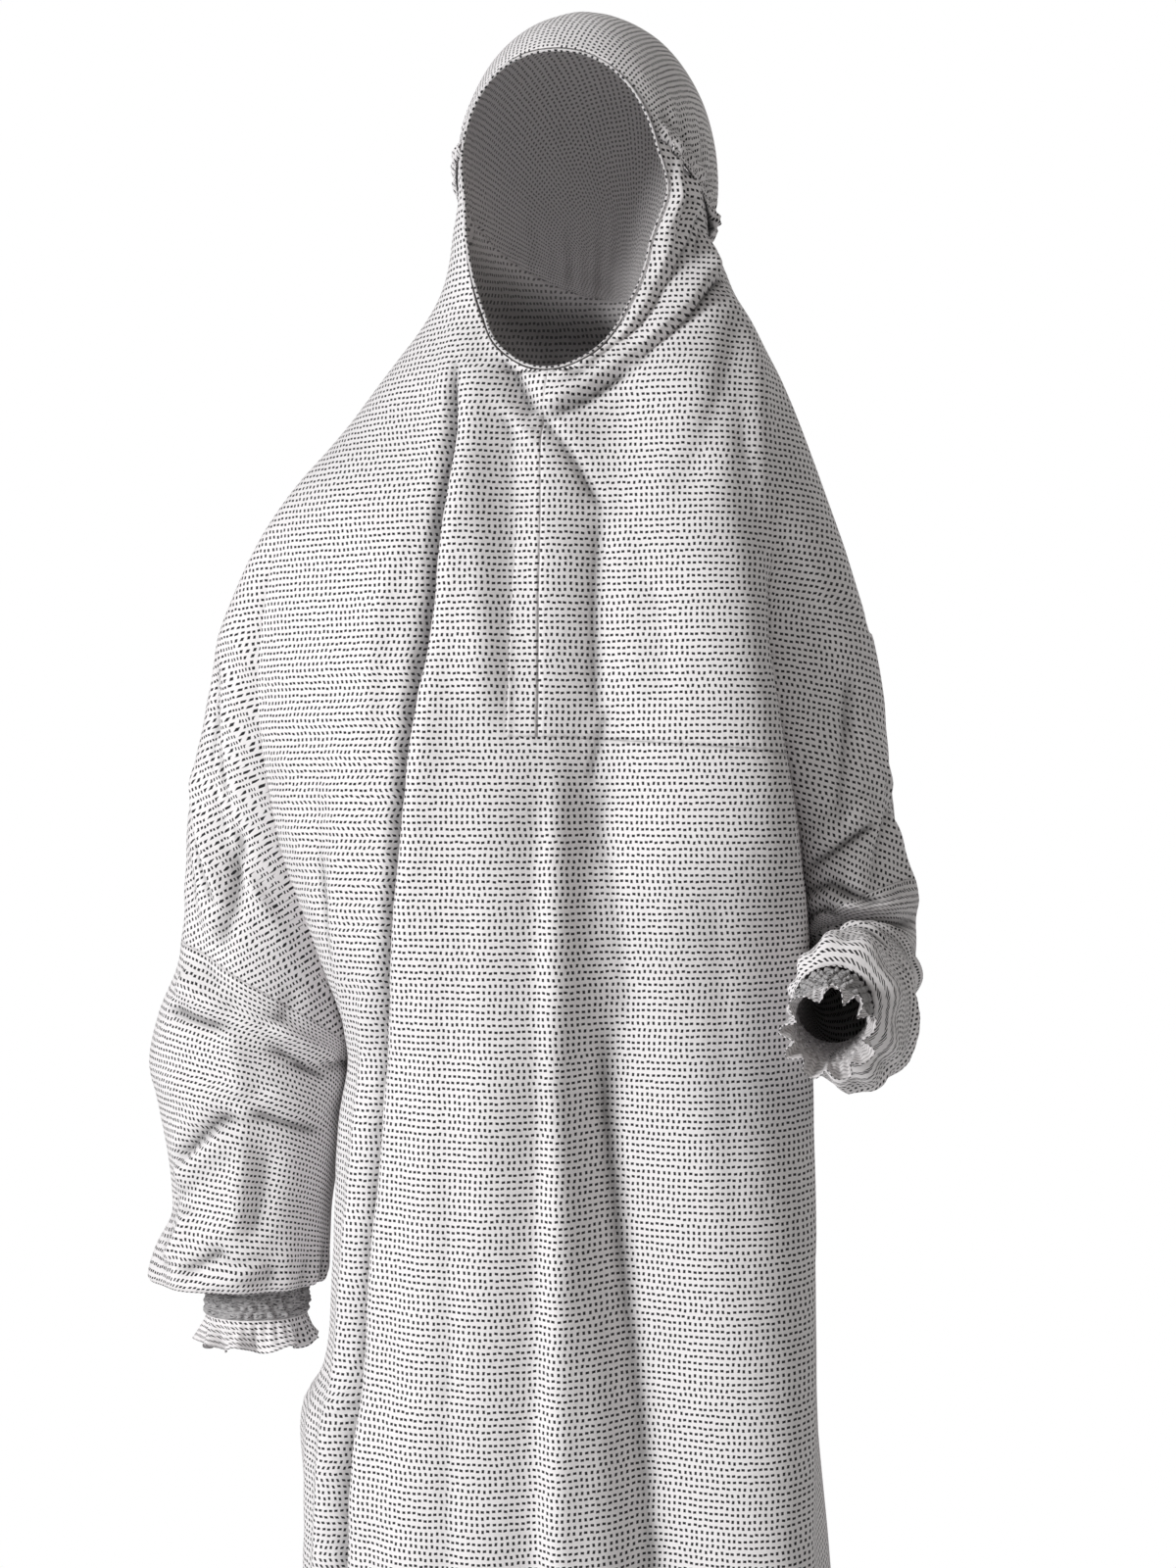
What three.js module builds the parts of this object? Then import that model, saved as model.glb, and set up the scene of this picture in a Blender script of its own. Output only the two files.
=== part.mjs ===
// Jilbab worn on a standing figure: a hooded, batwing, ankle-length overgarment.
// Millimetres, +Z up. The origin is the crown of the head inside the hood, the front faces -Y,
// and +X is the wearer's left.
import * as THREE from 'three'

// Cloth
const wall = 1.6
const seamGap = 0.4
const cloth = { color: 0xdcd7d8, roughness: 0.86, metalness: 0 }

// Levels of the garment, from the hood down to the hem
const temple = -100
const nape = -178
const chin = -250
const underarm = { right: -712, left: -640 }
const hem = -1650
const frontSeam = { centre: -491, side: -505 }
const sleeveSeam = { right: -628, left: -584 }
const cuffTop = { right: -880, left: -800 }

// Hood: the crown is part of an ellipsoid, and the face opening is cut from it and from the drape below
const crown = { x: -5, y: 5, z: -107, across: 86, along: 104, up: 109 }
const face = { halfWidth: 71, middle: -135, up: 94, down: 115, power: 2.3 }
const bindingRadius = 2
const frontReach = { hood: 75, chest: 52 }

// Rings of the hood drape and shoulders. centre is the front line's x, mid the y of the widest point,
// turn the degrees that the head looks to the wearer's right.
const drapeRings = table('z centre right left mid front back turn', [
  [-80, -3, -92, 84, 5, -92, 108, 10.5],
  [-110, -3, -94, 83, 5, -84, 106, 10.5],
  [-135, -3, -97, 82, 5, -79, 104, 10.5],
  [-168, -3, -103, 87, 6, -72, 101, 10.5],
  [-188, -3, -111, 94, 8, -69, 100, 10],
  [-208, -3, -125, 106, 10, -70, 101, 10],
  [-228, -4, -141, 116, 12, -78, 103, 9],
  [-250, -5, -158, 127, 14, -90, 106, 8],
  [-289, -13, -188, 143, 18, -98, 113, 5],
  [-329, -17, -220, 158, 20, -108, 120, 2],
  [-370, -19, -246, 172, 22, -116, 126, 0],
  [-440, -19, -270, 192, 24, -125, 134, 0],
])

// Front and back centre lines of the body
const bodyLine = table('z centre front back', [
  [-250, -5, -90, 106],
  [-290, -17, -98, 113],
  [-350, -19, -112, 124],
  [-440, -19, -125, 134],
  [-560, -18, -132, 142],
  [-800, -17, -136, 150],
  [-1050, -17, -143, 156],
  [hem, -15, -165, 172],
])

// Valleys where the wings leave the body. They meet at the underarm and go on as the side seams.
// turnIn is how far round the body's curve the panel has come when it reaches the valley.
const bodyEdge = {
  right: table('z frontX frontY backX backY turnIn', [
    [-250, -190, -50, -180, 100, 60],
    [-440, -222, -42, -208, 100, 62],
    [-555, -213, -28, -212, 95, 70],
    [-628, -192, -8, -194, 75, 80],
    [-690, -175, 19, -176, 48, 76],
    [-712, -172, 31, -172, 37, 78],
    [-755, -176, 33.6, -176, 34.4, 86],
    [-850, -178, 33.8, -178, 34.2, 90],
    [-912, -184, 33.8, -184, 34.2, 90],
    [-946, -204, 33.8, -204, 34.2, 90],
    [-1006, -203, 33.8, -203, 34.2, 90],
    [-1100, -203, 33.8, -203, 34.2, 90],
    [hem, -240, 33.8, -240, 34.2, 90],
  ]),
  left: table('z frontX frontY backX backY turnIn', [
    [-250, 110, -60, 150, 100, 60],
    [-420, 122, -55, 150, 105, 62],
    [-495, 134, -52, 156, 95, 68],
    [-560, 143, -28, 152, 75, 78],
    [-610, 143, 8, 146, 55, 76],
    [-640, 142, 31, 142, 37, 77],
    [-700, 140, 33.7, 140, 34.3, 86],
    [-774, 143, 33.8, 143, 34.2, 90],
    [-834, 147, 33.8, 147, 34.2, 90],
    [-954, 150, 33.8, 150, 34.2, 90],
    [-1034, 157, 33.8, 157, 34.2, 90],
    [hem, 208, 33.8, 208, 34.2, 90],
  ]),
}

// Wings and sleeves: rings round the arm. level names the ring, tilt turns it forwards at the elbow,
// open is how far round from the outer side the valley lies.
const armRings = {
  right: table('level x y z tilt across depth open', [
    [-420, -214, 30, -420, 0, 50, 82, 95],
    [-500, -226, 30, -500, 0, 54, 80, 100],
    [-560, -236, 30, -560, 0, 52, 78, 112],
    [-640, -243, 30, -640, 0, 51, 75, 140],
    [-680, -248, 30, -680, 0, 61, 74, 165],
    [-712, -246, 30, -712, 0, 70.5, 72, 180],
    [-762, -244, 26, -762, 0, 62, 69, 180],
    [-815, -244, 22, -815, 0, 55, 65, 180],
    [-845, -250, 18, -845, 0, 60, 64, 180],
    [-868, -251, 14, -866, 0, 58, 60, 180],
    [-880, -238, 12, -853, 0, 36.2, 36.2, 180],
  ]),
  left: table('level x y z tilt across depth open', [
    [-420, 150, 30, -420, 0, 38, 80, 95],
    [-500, 160, 32, -500, 0, 39, 76, 105],
    [-560, 167, 34, -560, 0, 37, 74, 130],
    [-600, 177, 36, -601, 2, 41, 70, 160],
    [-640, 181, 30, -643, 28, 35, 62, 180],
    [-680, 182, -12, -664, 62, 34, 56, 180],
    [-720, 182, -58, -668, 80, 34, 52, 180],
    [-760, 180, -98, -666, 82, 34, 50, 180],
    [-785, 176, -120, -663, 80, 34, 46, 180],
    [-800, 170, -128, -660, 76, 25, 26, 180],
  ]),
}

// Hanging folds of the front and back: x at four heights, width and height of the bell-shaped fold,
// and where it starts and ends. A negative rise is a valley.
const foldHeights = [-290, -620, -1020, hem]
const frontFolds = table('shoulder waist knee hemX width rise start end', [
  [-84, -130, -160, -196, 10, -19, -262, -2400],
  [-112, -154, -182, -222, 17, 9, -300, -2400],
  [101, 144, 150, 180, 10, -15, -205, -580],
  [86, 124, 140, 176, 17, 7, -230, -2400],
  [-66, -54, -54, -60, 12, -8, -228, -540],
  [-44, -42, -40, -44, 13, -6, -490, -2400],
  [-8, -6, -4, 0, 11, 5, -480, -2400],
  [-40, -2, 42, 84, 19, -12, -505, -2400],
  [30, 48, 78, 118, 20, 6, -330, -2400],
  [12, 4, 4, 4, 15, 5, -300, -520],
  [-90, -92, -100, -120, 22, 7, -420, -2400],
])
const backFolds = table('shoulder waist knee hemX width rise start end', [
  [-104, -140, -160, -190, 20, -12, -260, -2400],
  [-62, -84, -104, -128, 24, 9, -225, -2400],
  [-26, -40, -52, -66, 17, -10, -215, -2400],
  [6, 4, 0, -4, 22, 8, -235, -2400],
  [34, 44, 52, 66, 16, -9, -215, -2400],
  [66, 80, 94, 122, 22, 8, -240, -2400],
  [96, 116, 130, 160, 18, -12, -280, -2400],
])

// Slanting creases on the wings and sleeves, from one point to another. around runs from 0 at the
// front valley over the arm to 1 at the back valley.
const armFolds = {
  right: table('around1 level1 around2 level2 width rise', [
    [0.30, -430, 0.12, -600, 13, -8],
    [0.10, -545, 0.28, -640, 10, -8],
    [0.42, -560, 0.20, -690, 13, -7],
    [0.36, -690, 0.16, -740, 9, 6],
    [0.12, -735, 0.46, -775, 9, -7],
    [0.22, -800, 0.48, -830, 9, -6],
    [0.70, -480, 0.88, -640, 13, -8],
    [0.60, -650, 0.82, -720, 11, -7],
    [0.62, -790, 0.90, -760, 9, -6],
  ]),
  left: table('around1 level1 around2 level2 width rise', [
    [0.30, -440, 0.14, -560, 11, -6],
    [0.50, -520, 0.24, -600, 10, -6],
    [0.56, -610, 0.12, -625, 9, -7],
    [0.64, -640, 0.22, -672, 9, 6],
    [0.70, -668, 0.26, -712, 8, -6],
    [0.66, -720, 0.36, -752, 8, 5],
    [0.72, -460, 0.88, -590, 12, -7],
    [0.78, -560, 0.60, -650, 10, -6],
  ]),
}
const pleats = { count: 8, depth: 3, reach: 70 }

// Slit facing, ties, cuffs and frills
const placket = { wall: 1, share: 0.062 }
const tie = { width: 9, wall: 1.2, knotAt: 97, knotHeight: 7, knotSpread: 5 }
const cuff = { length: 34, wall: 1.6, puff: 1.5, tucks: 18, rows: 5 }
const frill = { length: 22, wall: 1.2, flare: 3.6, waves: 9, waveDepth: 3.5 }

// Reading the tables
function table(columns, rows) {
  const names = columns.split(' ')
  return rows.map((row) => Object.fromEntries(names.map((name, i) => [name, row[i]])))
}

function clamp(value, low, high) {
  return Math.min(Math.max(value, low), high)
}

function ease(from, to, value) {
  const t = clamp((value - from) / (to - from), 0, 1)
  return t * t * (3 - 2 * t)
}

function mix(a, b, t) {
  return a + (b - a) * t
}

// Smooth curve through a table's column, by Hermite segments between its rows
function along(rows, key, column, at) {
  const last = rows.length - 1
  let i = 0
  while (i < last - 1 && at < rows[i + 1][key]) i += 1
  const slope = (k) => {
    const a = rows[Math.max(k - 1, 0)]
    const b = rows[Math.min(k + 1, last)]
    return (b[column] - a[column]) / (b[key] - a[key])
  }
  const span = rows[i + 1][key] - rows[i][key]
  const t = clamp((at - rows[i][key]) / span, 0, 1)
  const low = rows[i][column]
  const high = rows[i + 1][column]
  const rise = slope(i) * span * t * (1 - t) * (1 - t)
  const fall = slope(i + 1) * span * t * t * (1 - t)
  return mix(low, high, t * t * (3 - 2 * t)) + rise - fall
}

const radians = (degrees) => (degrees * Math.PI) / 180

// Hood: crown ellipsoid above, drape rings below, joined at the crown's lower edge
const templeAngle = 57

function crownEdge(angle) {
  const share = clamp((Math.abs(angle) - templeAngle) / (180 - templeAngle), 0, 1)
  return mix(temple, nape, Math.sin((share * Math.PI) / 2))
}

function turned(x, y, z) {
  const t = radians(along(drapeRings, 'z', 'turn', z))
  return new THREE.Vector3(x * Math.cos(t) + y * Math.sin(t), y * Math.cos(t) - x * Math.sin(t), z)
}

function drapeHalf(side, z) {
  const centre = along(drapeRings, 'z', 'centre', z)
  return Math.abs(along(drapeRings, 'z', side, z) - centre)
}

function hoodPoint(side, angle, z) {
  const sign = side === 'left' ? 1 : -1
  const s = Math.sin(radians(angle))
  const c = Math.cos(radians(angle))
  const level = clamp((z - crown.z) / crown.up, -1, 1)
  const narrow = Math.sqrt(1 - level * level)
  const centre = along(drapeRings, 'z', 'centre', z)
  const mid = along(drapeRings, 'z', 'mid', z)
  const reach = c > 0 ? mid - along(drapeRings, 'z', 'front', z) : along(drapeRings, 'z', 'back', z) - mid
  const drop = ease(0, 36, crownEdge(angle) - z)
  const x = mix(crown.x + sign * crown.across * narrow * s, centre + sign * drapeHalf(side, z) * s, drop)
  const y = mix(crown.y - crown.along * narrow * c, mid - reach * c, drop)
  return turned(x, y, z)
}

// Face opening: half-width of the opening at a height, and the angle of its edge on the hood
function faceHalf(z) {
  const up = z > face.middle
  const share = clamp((z - face.middle) / (up ? face.up : -face.down), 0, 1)
  const power = up ? face.power : 2
  return face.halfWidth * Math.pow(1 - Math.pow(share, power), 1 / power)
}

function faceAngle(side, z) {
  const drop = ease(0, 36, temple - z)
  const half = mix(crown.across, drapeHalf(side, z), drop)
  return (Math.asin(clamp(faceHalf(z) / half, 0, 1)) * 180) / Math.PI
}

// Body: arcs from the centre line to the valleys, and arm rings between the valleys
const reachAngle = (z) => mix(frontReach.hood, frontReach.chest, ease(-150, -420, z))
const bodyShare = (z) => ease(-265, -430, z)

function foldHeight(folds, x, z) {
  let sum = 0
  for (const fold of folds) {
    const path = [fold.shoulder, fold.waist, fold.knee, fold.hemX]
    const rows = foldHeights.map((height, i) => ({ z: height, x: path[i] }))
    const middle = along(rows, 'z', 'x', z)
    const bell = Math.exp(-(((x - middle) / fold.width) ** 2))
    const fade = ease(fold.start, fold.start - 90, z) * ease(fold.end, fold.end + 60, z)
    sum += fold.rise * bell * fade * (0.88 + 0.12 * Math.sin(z / 90 + fold.waist))
  }
  return sum
}

function pushed(point, height) {
  const away = new THREE.Vector2(point.x + 15, point.y - 25).normalize()
  return new THREE.Vector3(point.x + away.x * height, point.y + away.y * height, point.z)
}

// Shares across and back of a rounded arc that has turned by a part of its full turn
function arcShares(part, turn) {
  const bend = 0.9
  const across = (angle) => Math.pow(Math.sin(angle), bend)
  const back = (angle) => 1 - Math.pow(Math.max(Math.cos(angle), 0), bend)
  return [across(part * turn) / across(turn), back(part * turn) / back(turn)]
}

// a runs from 0 on the front centre line to 1 at the front valley
function frontPoint(side, a, z) {
  const hood = hoodPoint(side, a * reachAngle(z), z)
  const edge = bodyEdge[side]
  const turn = radians(along(edge, 'z', 'turnIn', z))
  const centreX = along(bodyLine, 'z', 'centre', z)
  const centreY = along(bodyLine, 'z', 'front', z)
  const [out, back] = arcShares(a, turn)
  const x = mix(centreX, along(edge, 'z', 'frontX', z), out)
  const y = mix(centreY, along(edge, 'z', 'frontY', z), back)
  const point = hood.lerp(new THREE.Vector3(x, y, z), bodyShare(z))
  const fade = 1 - bodyShare(z) * Math.pow(a, 6)
  return pushed(point, foldHeight(frontFolds, point.x, z) * fade)
}

// b runs from 0 at the back valley to 1 on the back centre line
function backPoint(side, b, z) {
  const a = 1 - b
  const hood = hoodPoint(side, 180 - a * reachAngle(z), z)
  const edge = bodyEdge[side]
  const turn = radians(along(edge, 'z', 'turnIn', z))
  const centreX = along(bodyLine, 'z', 'centre', z)
  const centreY = along(bodyLine, 'z', 'back', z)
  const [out, back] = arcShares(a, turn)
  const x = mix(centreX, along(edge, 'z', 'backX', z), out)
  const y = mix(centreY, along(edge, 'z', 'backY', z), back)
  const point = hood.lerp(new THREE.Vector3(x, y, z), bodyShare(z))
  const fade = 1 - bodyShare(z) * Math.pow(a, 6)
  return pushed(point, foldHeight(backFolds, point.x, z) * fade)
}

// Columns round the arm stand closer near the valleys. The share is 0 and 1 at the valleys.
const armCrowding = 1.35

function armSpread(share) {
  const near = 0.5 * Math.pow(2 * Math.min(share, 1 - share), armCrowding)
  return share < 0.5 ? near : 1 - near
}

function armShare(t) {
  const near = 0.5 * Math.pow(2 * clamp(Math.min(t, 1 - t), 0, 1), 1 / armCrowding)
  return t < 0.5 ? near : 1 - near
}

function armRing(side, angle, level, grow = 0) {
  const read = (column) => along(armRings[side], 'level', column, level)
  const sign = side === 'left' ? 1 : -1
  const tilt = radians(read('tilt'))
  const outward = Math.cos(angle) * (read('across') + grow)
  const forward = Math.sin(angle) * (read('depth') + grow)
  return new THREE.Vector3(
    read('x') + sign * outward,
    read('y') - forward * Math.cos(tilt),
    read('z') + forward * Math.sin(tilt),
  )
}

function armFoldHeight(side, t, level) {
  const girth = 330
  let sum = 0
  for (const fold of armFolds[side]) {
    const ax = fold.around1 * girth
    const ay = fold.level1
    const bx = fold.around2 * girth - ax
    const by = fold.level2 - ay
    const px = t * girth - ax
    const py = level - ay
    const share = clamp((px * bx + py * by) / (bx * bx + by * by), 0, 1)
    const off = Math.hypot(px - bx * share, py - by * share)
    sum += fold.rise * Math.exp(-((off / fold.width) ** 2)) * (0.35 + 0.65 * Math.sin(share * Math.PI))
  }
  return sum * Math.sin(Math.PI * clamp(t, 0, 1)) ** 0.5
}

// t runs from 0 at the front valley over the arm to 1 at the back valley
function armPoint(side, t, level) {
  const open = radians(along(armRings[side], 'level', 'open', level))
  const angle = mix(open, -open, t)
  const gather = ease(cuffTop[side] + pleats.reach, cuffTop[side] + 8, level)
  const wave = Math.cos(2 * Math.PI * pleats.count * armShare(t)) * pleats.depth * gather
  const fade = 1 - ease(cuffTop[side] + 22, cuffTop[side], level)
  const point = armRing(side, angle, level, (wave + armFoldHeight(side, t, level)) * fade)
  if (level < underarm[side]) return point
  const edge = bodyEdge[side]
  const read = (column) => along(edge, 'z', column, level)
  const front = new THREE.Vector3(read('frontX'), read('frontY'), level)
  const back = new THREE.Vector3(read('backX'), read('backY'), level)
  const nearFront = 1 - ease(0, 0.42, t)
  const nearBack = ease(0.58, 1, t)
  point.addScaledVector(front.sub(armRing(side, open, level)), nearFront)
  point.addScaledVector(back.sub(armRing(side, -open, level)), nearBack)
  const reach = reachAngle(level)
  const share = bodyShare(level)
  const joined = hoodPoint(side, mix(reach, 180 - reach, t), level).lerp(point, share)
  const folds = t < 0.5 ? frontFolds : backFolds
  return pushed(joined, foldHeight(folds, joined.x, level) * (1 - share) * Math.abs(2 * t - 1))
}

// Cloth walls: grids of points on the middle of the cloth, joined where they meet, then given thickness.
// A patch's columns run from the front round the side to the back, its rows run down.
function patch(side, columns, rows, pointAt) {
  return { sign: side === 'left' ? 1 : -1, columns, rows, pointAt }
}

function patchNormal(part, u, v) {
  const step = 0.002
  const u0 = clamp(u - step, 0, 1)
  const u1 = clamp(u + step, 0, 1)
  const v0 = clamp(v - step, 0, 1)
  const v1 = clamp(v + step, 0, 1)
  const across = part.pointAt(u1, v).sub(part.pointAt(u0, v))
  const down = part.pointAt(u, v1).sub(part.pointAt(u, v0))
  return down.cross(across).multiplyScalar(part.sign).normalize()
}

function shell(name, patches, thickness, options = {}) {
  const points = []
  const normals = []
  const raises = []
  const found = new Map()
  const faces = []
  const place = (part, u, v) => {
    const point = part.pointAt(u, v)
    const key = [point.x, point.y, point.z].map((value) => Math.round(value * 50)).join()
    if (!found.has(key)) {
      found.set(key, points.length)
      points.push(point)
      normals.push(new THREE.Vector3())
      raises.push(options.raise ? options.raise(u, v) : 0)
    }
    const index = found.get(key)
    normals[index].add(patchNormal(part, u, v))
    return index
  }
  for (const part of patches) {
    const rows = part.rows.map((v) => part.columns.map((u) => place(part, u, v)))
    for (let i = 0; i + 1 < rows.length; i += 1) {
      for (let j = 0; j + 1 < rows[i].length; j += 1) {
        const a = rows[i][j]
        const b = rows[i + 1][j]
        const c = rows[i + 1][j + 1]
        const d = rows[i][j + 1]
        const pair = part.sign > 0 ? [[a, b, c], [a, c, d]] : [[a, c, b], [a, d, c]]
        for (const face of pair) {
          if (new Set(face).size === 3) faces.push(face)
        }
      }
    }
  }
  const total = points.length
  const position = []
  const lift = options.lift ?? 0
  points.forEach((point, i) => {
    const normal = normals[i].normalize()
    position.push(...point.clone().addScaledVector(normal, lift + thickness / 2 + raises[i]).toArray())
  })
  points.forEach((point, i) => {
    position.push(...point.clone().addScaledVector(normals[i], lift - thickness / 2).toArray())
  })
  const index = []
  const edges = new Map()
  for (const [a, b, c] of faces) {
    index.push(a, b, c, a + total, c + total, b + total)
    for (const [from, to] of [[a, b], [b, c], [c, a]]) edges.set(`${from},${to}`, [from, to])
  }
  for (const [from, to] of edges.values()) {
    if (edges.has(`${to},${from}`)) continue
    index.push(to, from, from + total, to, from + total, to + total)
  }
  return closedMesh(name, position, index)
}

function closedMesh(name, position, index) {
  const geometry = new THREE.BufferGeometry()
  geometry.setAttribute('position', new THREE.Float32BufferAttribute(position, 3))
  geometry.setIndex(index)
  const mesh = new THREE.Mesh(geometry, new THREE.MeshStandardMaterial(cloth))
  mesh.name = name
  return mesh
}

const steps = (count, from = 0, to = 1) =>
  Array.from({ length: count + 1 }, (_, i) => from + ((to - from) * i) / count)

// Rows above the underarm. v runs from 0 at the crown's edge to 1 at the underarm.
const chinRow = 0.26
const seamRow = { right: 0.72, left: 0.8 }
const rowCounts = { face: 7, chest: 7, wing: 4, skirt: 8 }
const chestSide = -222
const centreUnderarm = -690
const sideSlope = 1.4
const panelWidth = 110

function sideLevel(side, v) {
  const top = crownEdge(frontReach.hood) - seamGap
  const row = seamRow[side]
  if (v < chinRow) return mix(top, chestSide, v / chinRow)
  if (v < row) return mix(chestSide, frontSeam.side, (v - chinRow) / (row - chinRow))
  return mix(frontSeam.side, underarm[side] + seamGap, (v - row) / (1 - row))
}

function centreLevel(side, v) {
  const row = seamRow[side]
  const straight = 0.16
  if (v < chinRow * straight) return mix(temple - seamGap, face.middle, v / chinRow / straight)
  if (v < chinRow) {
    const share = (v / chinRow - straight) / (1 - straight)
    return face.middle - face.down * Math.sin((share * Math.PI) / 2)
  }
  if (v < row) return mix(chin, frontSeam.centre, (v - chinRow) / (row - chinRow))
  return mix(frontSeam.centre, centreUnderarm, (v - row) / (1 - row))
}

// The inner edge follows the face opening down to the chin, clear of its binding, then the centre line
function upperFront(side, u, v, centreGap) {
  const z = centreLevel(side, v)
  const start = v < chinRow ? faceAngle(side, z) / reachAngle(z) : 0
  const beside = clamp(start / 0.78, 0, 1)
  const below = Math.sqrt(1 - beside * beside) * (1 - ease(chinRow, chinRow + 0.04, v))
  const a = mix(start + (bindingInset * beside + centreGap) / panelWidth, 1, u)
  const level = mix(z - bindingInset * below, sideLevel(side, v), Math.pow(u, sideSlope))
  const straightTop = mix(temple, crownEdge(frontReach.hood), Math.pow(u, sideSlope))
  const bow = (crownEdge(a * frontReach.hood) - straightTop) * (1 - ease(0, chinRow, v))
  return frontPoint(side, a, level + bow)
}

function lowerFront(side, u, v) {
  const top = mix(centreUnderarm, underarm[side] + seamGap, Math.pow(u, sideSlope))
  const z = mix(top, hem, v)
  return frontPoint(side, u * sideTrim(side, z), z)
}

function wingShare(side, v) {
  const first = sideLevel(side, 0)
  return (sideLevel(side, v) - first) / (sideLevel(side, 1) - first)
}

// The armhole slopes from the outer side of the arm down to the underarm
function armholeLevel(side, t) {
  return mix(sleeveSeam[side], underarm[side], Math.pow(Math.abs(2 * t - 1), 2.4))
}

function wingLevel(side, t, v) {
  const top = crownEdge(mix(frontReach.hood, 180 - frontReach.hood, t)) - seamGap
  const bottom = armholeLevel(side, t) + seamGap
  return mix(top, bottom, wingShare(side, v))
}

function rowShare(side, v) {
  const { face: faceRows, chest, wing } = rowCounts
  const total = faceRows + chest + wing
  const row = seamRow[side]
  if (v < chinRow) return ((v / chinRow) * faceRows) / total
  if (v < row) return (faceRows + (chest * (v - chinRow)) / (row - chinRow)) / total
  return (faceRows + chest + (wing * (v - row)) / (1 - row)) / total
}

function backBottom(side, b) {
  return mix(underarm[side] + seamGap, centreUnderarm, 1 - Math.pow(1 - b, sideSlope))
}

function upperBack(side, b, v) {
  const angle = 180 - (1 - b) * frontReach.hood
  const share = mix(wingShare(side, v), rowShare(side, v), b)
  return backPoint(side, b, mix(crownEdge(angle) - seamGap, backBottom(side, b), share))
}

const bindingInset = bindingRadius + 0.5
const halfSeam = { top: 0.005, bottom: 0.001 }

// The left lower front stops short of the wing that it runs beside down to the underarm
function sideTrim(side, z) {
  return side === 'left' ? 1 - 0.024 * ease(-720, -650, z) : 1
}


const panelColumns = [0, placket.share, ...steps(10, 0.13, 1)]
const wingColumns = steps(8)
const skirtRows = steps(rowCounts.skirt)
const upperRows = {}
for (const side of ['right', 'left']) {
  const row = seamRow[side]
  upperRows[side] = [
    ...steps(rowCounts.face, 0, chinRow),
    ...steps(rowCounts.chest, chinRow, row).slice(1),
    ...steps(rowCounts.wing, row, 1).slice(1),
  ]
}

// Half of a wing: 0 from the front valley to the seam over the arm, 1 from there to the back valley
function wingHalf(side, half) {
  return patch(side, wingColumns, upperRows[side], (u, v) => {
    const gap = mix(halfSeam.top, halfSeam.bottom, Math.min(wingShare(side, v) * 3, 1))
    const t = mix(half === 0 ? 0 : gap, half === 0 ? -gap : 0, u) + armSpread((u + half) / 2)
    return armPoint(side, t, wingLevel(side, t, v))
  })
}

// Front with the right wing, the right upper front and the whole lower front
function makeFront() {
  const upper = patch('right', panelColumns, upperRows.right, (u, v) => upperFront('right', u, v, 0))
  const belowSeam = upperRows.left.filter((v) => v >= seamRow.left)
  const middle = patch('left', panelColumns, belowSeam, (u, v) => {
    const level = mix(centreLevel('left', v), sideLevel('left', v), Math.pow(u, sideSlope))
    return frontPoint('left', u * sideTrim('left', level), level)
  })
  const skirts = ['right', 'left'].map((side) =>
    patch(side, panelColumns, skirtRows, (u, v) => lowerFront(side, u, v)),
  )
  return shell('front_main', [upper, wingHalf('right', 0), middle, ...skirts], wall)
}

// Left upper front down to the horizontal seam, with the front of the left wing
function makeUpperLeft() {
  const row = seamRow.left
  const aboveSeam = upperRows.left.filter((v) => v <= row)
  const upper = patch('left', panelColumns, aboveSeam, (u, v) => {
    const lifted = seamGap * 2 * ease(row - 0.05, row, v) * (1 - Math.pow(u, 8))
    const point = upperFront('left', u, v, seamGap)
    return point.setZ(point.z + lifted)
  })
  return shell('front_upper_left', [upper, wingHalf('left', 0)], wall)
}

function makeBack() {
  const patches = []
  for (const side of ['right', 'left']) {
    patches.push(wingHalf(side, 1))
    patches.push(patch(side, panelColumns, upperRows[side], (u, v) => upperBack(side, u, v)))
    patches.push(
      patch(side, panelColumns, skirtRows, (u, v) => backPoint(side, u, mix(backBottom(side, u), hem, v))),
    )
  }
  return shell('back', patches, wall)
}

// Facing of the front slit: points of the right front beside the centre seam, moved out
function makePlacket() {
  const lift = wall / 2 + seamGap + placket.wall / 2
  const rows = upperRows.right.filter((v) => v > chinRow + 0.01 && v <= seamRow.right)
  const strip = patch('right', [0.002, placket.share], rows, (u, v) => upperFront('right', u, v, 0))
  return shell('front_placket', [strip], placket.wall, { lift })
}

// Crown of the hood: rays from the top of the head to the brow edge and to the lower edge behind
function crownDirection(point) {
  const x = (point.x - crown.x) / crown.across
  const y = (point.y - crown.y) / crown.along
  return new THREE.Vector3(x, y, (point.z - crown.z) / crown.up).normalize()
}

function browEnd(inset) {
  return Math.acos(Math.pow((temple - face.middle) / (face.up + inset), face.power / 2))
}

function browPoint(share, inset) {
  const power = 2 / face.power
  const turn = browEnd(inset) * mix(-1, 1, share)
  const x = Math.sign(turn) * Math.pow(Math.abs(Math.sin(turn)), power) * (face.halfWidth + inset)
  const z = face.middle + Math.pow(Math.cos(turn), power) * (face.up + inset)
  const narrow = 1 - (x / crown.across) ** 2 - ((z - crown.z) / crown.up) ** 2
  return new THREE.Vector3(x + crown.x, crown.y - crown.along * Math.sqrt(narrow), z)
}

const browShare = 0.4
const browColumns = steps(12, 0, browShare)
const cornerAngle = (() => {
  const corner = crownDirection(browPoint(1, bindingInset))
  return (Math.atan2(corner.x, -corner.y) * 180) / Math.PI
})()

function crownRim(u) {
  if (u < browShare) return crownDirection(browPoint(u / browShare, bindingInset))
  const turn = mix(cornerAngle, 360 - cornerAngle, (u - browShare) / (1 - browShare))
  const z = (crownEdge(Math.min(turn, 360 - turn)) - crown.z) / crown.up
  const flat = Math.sqrt(1 - z * z)
  return new THREE.Vector3(Math.sin(radians(turn)) * flat, -Math.cos(radians(turn)) * flat, z)
}

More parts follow.
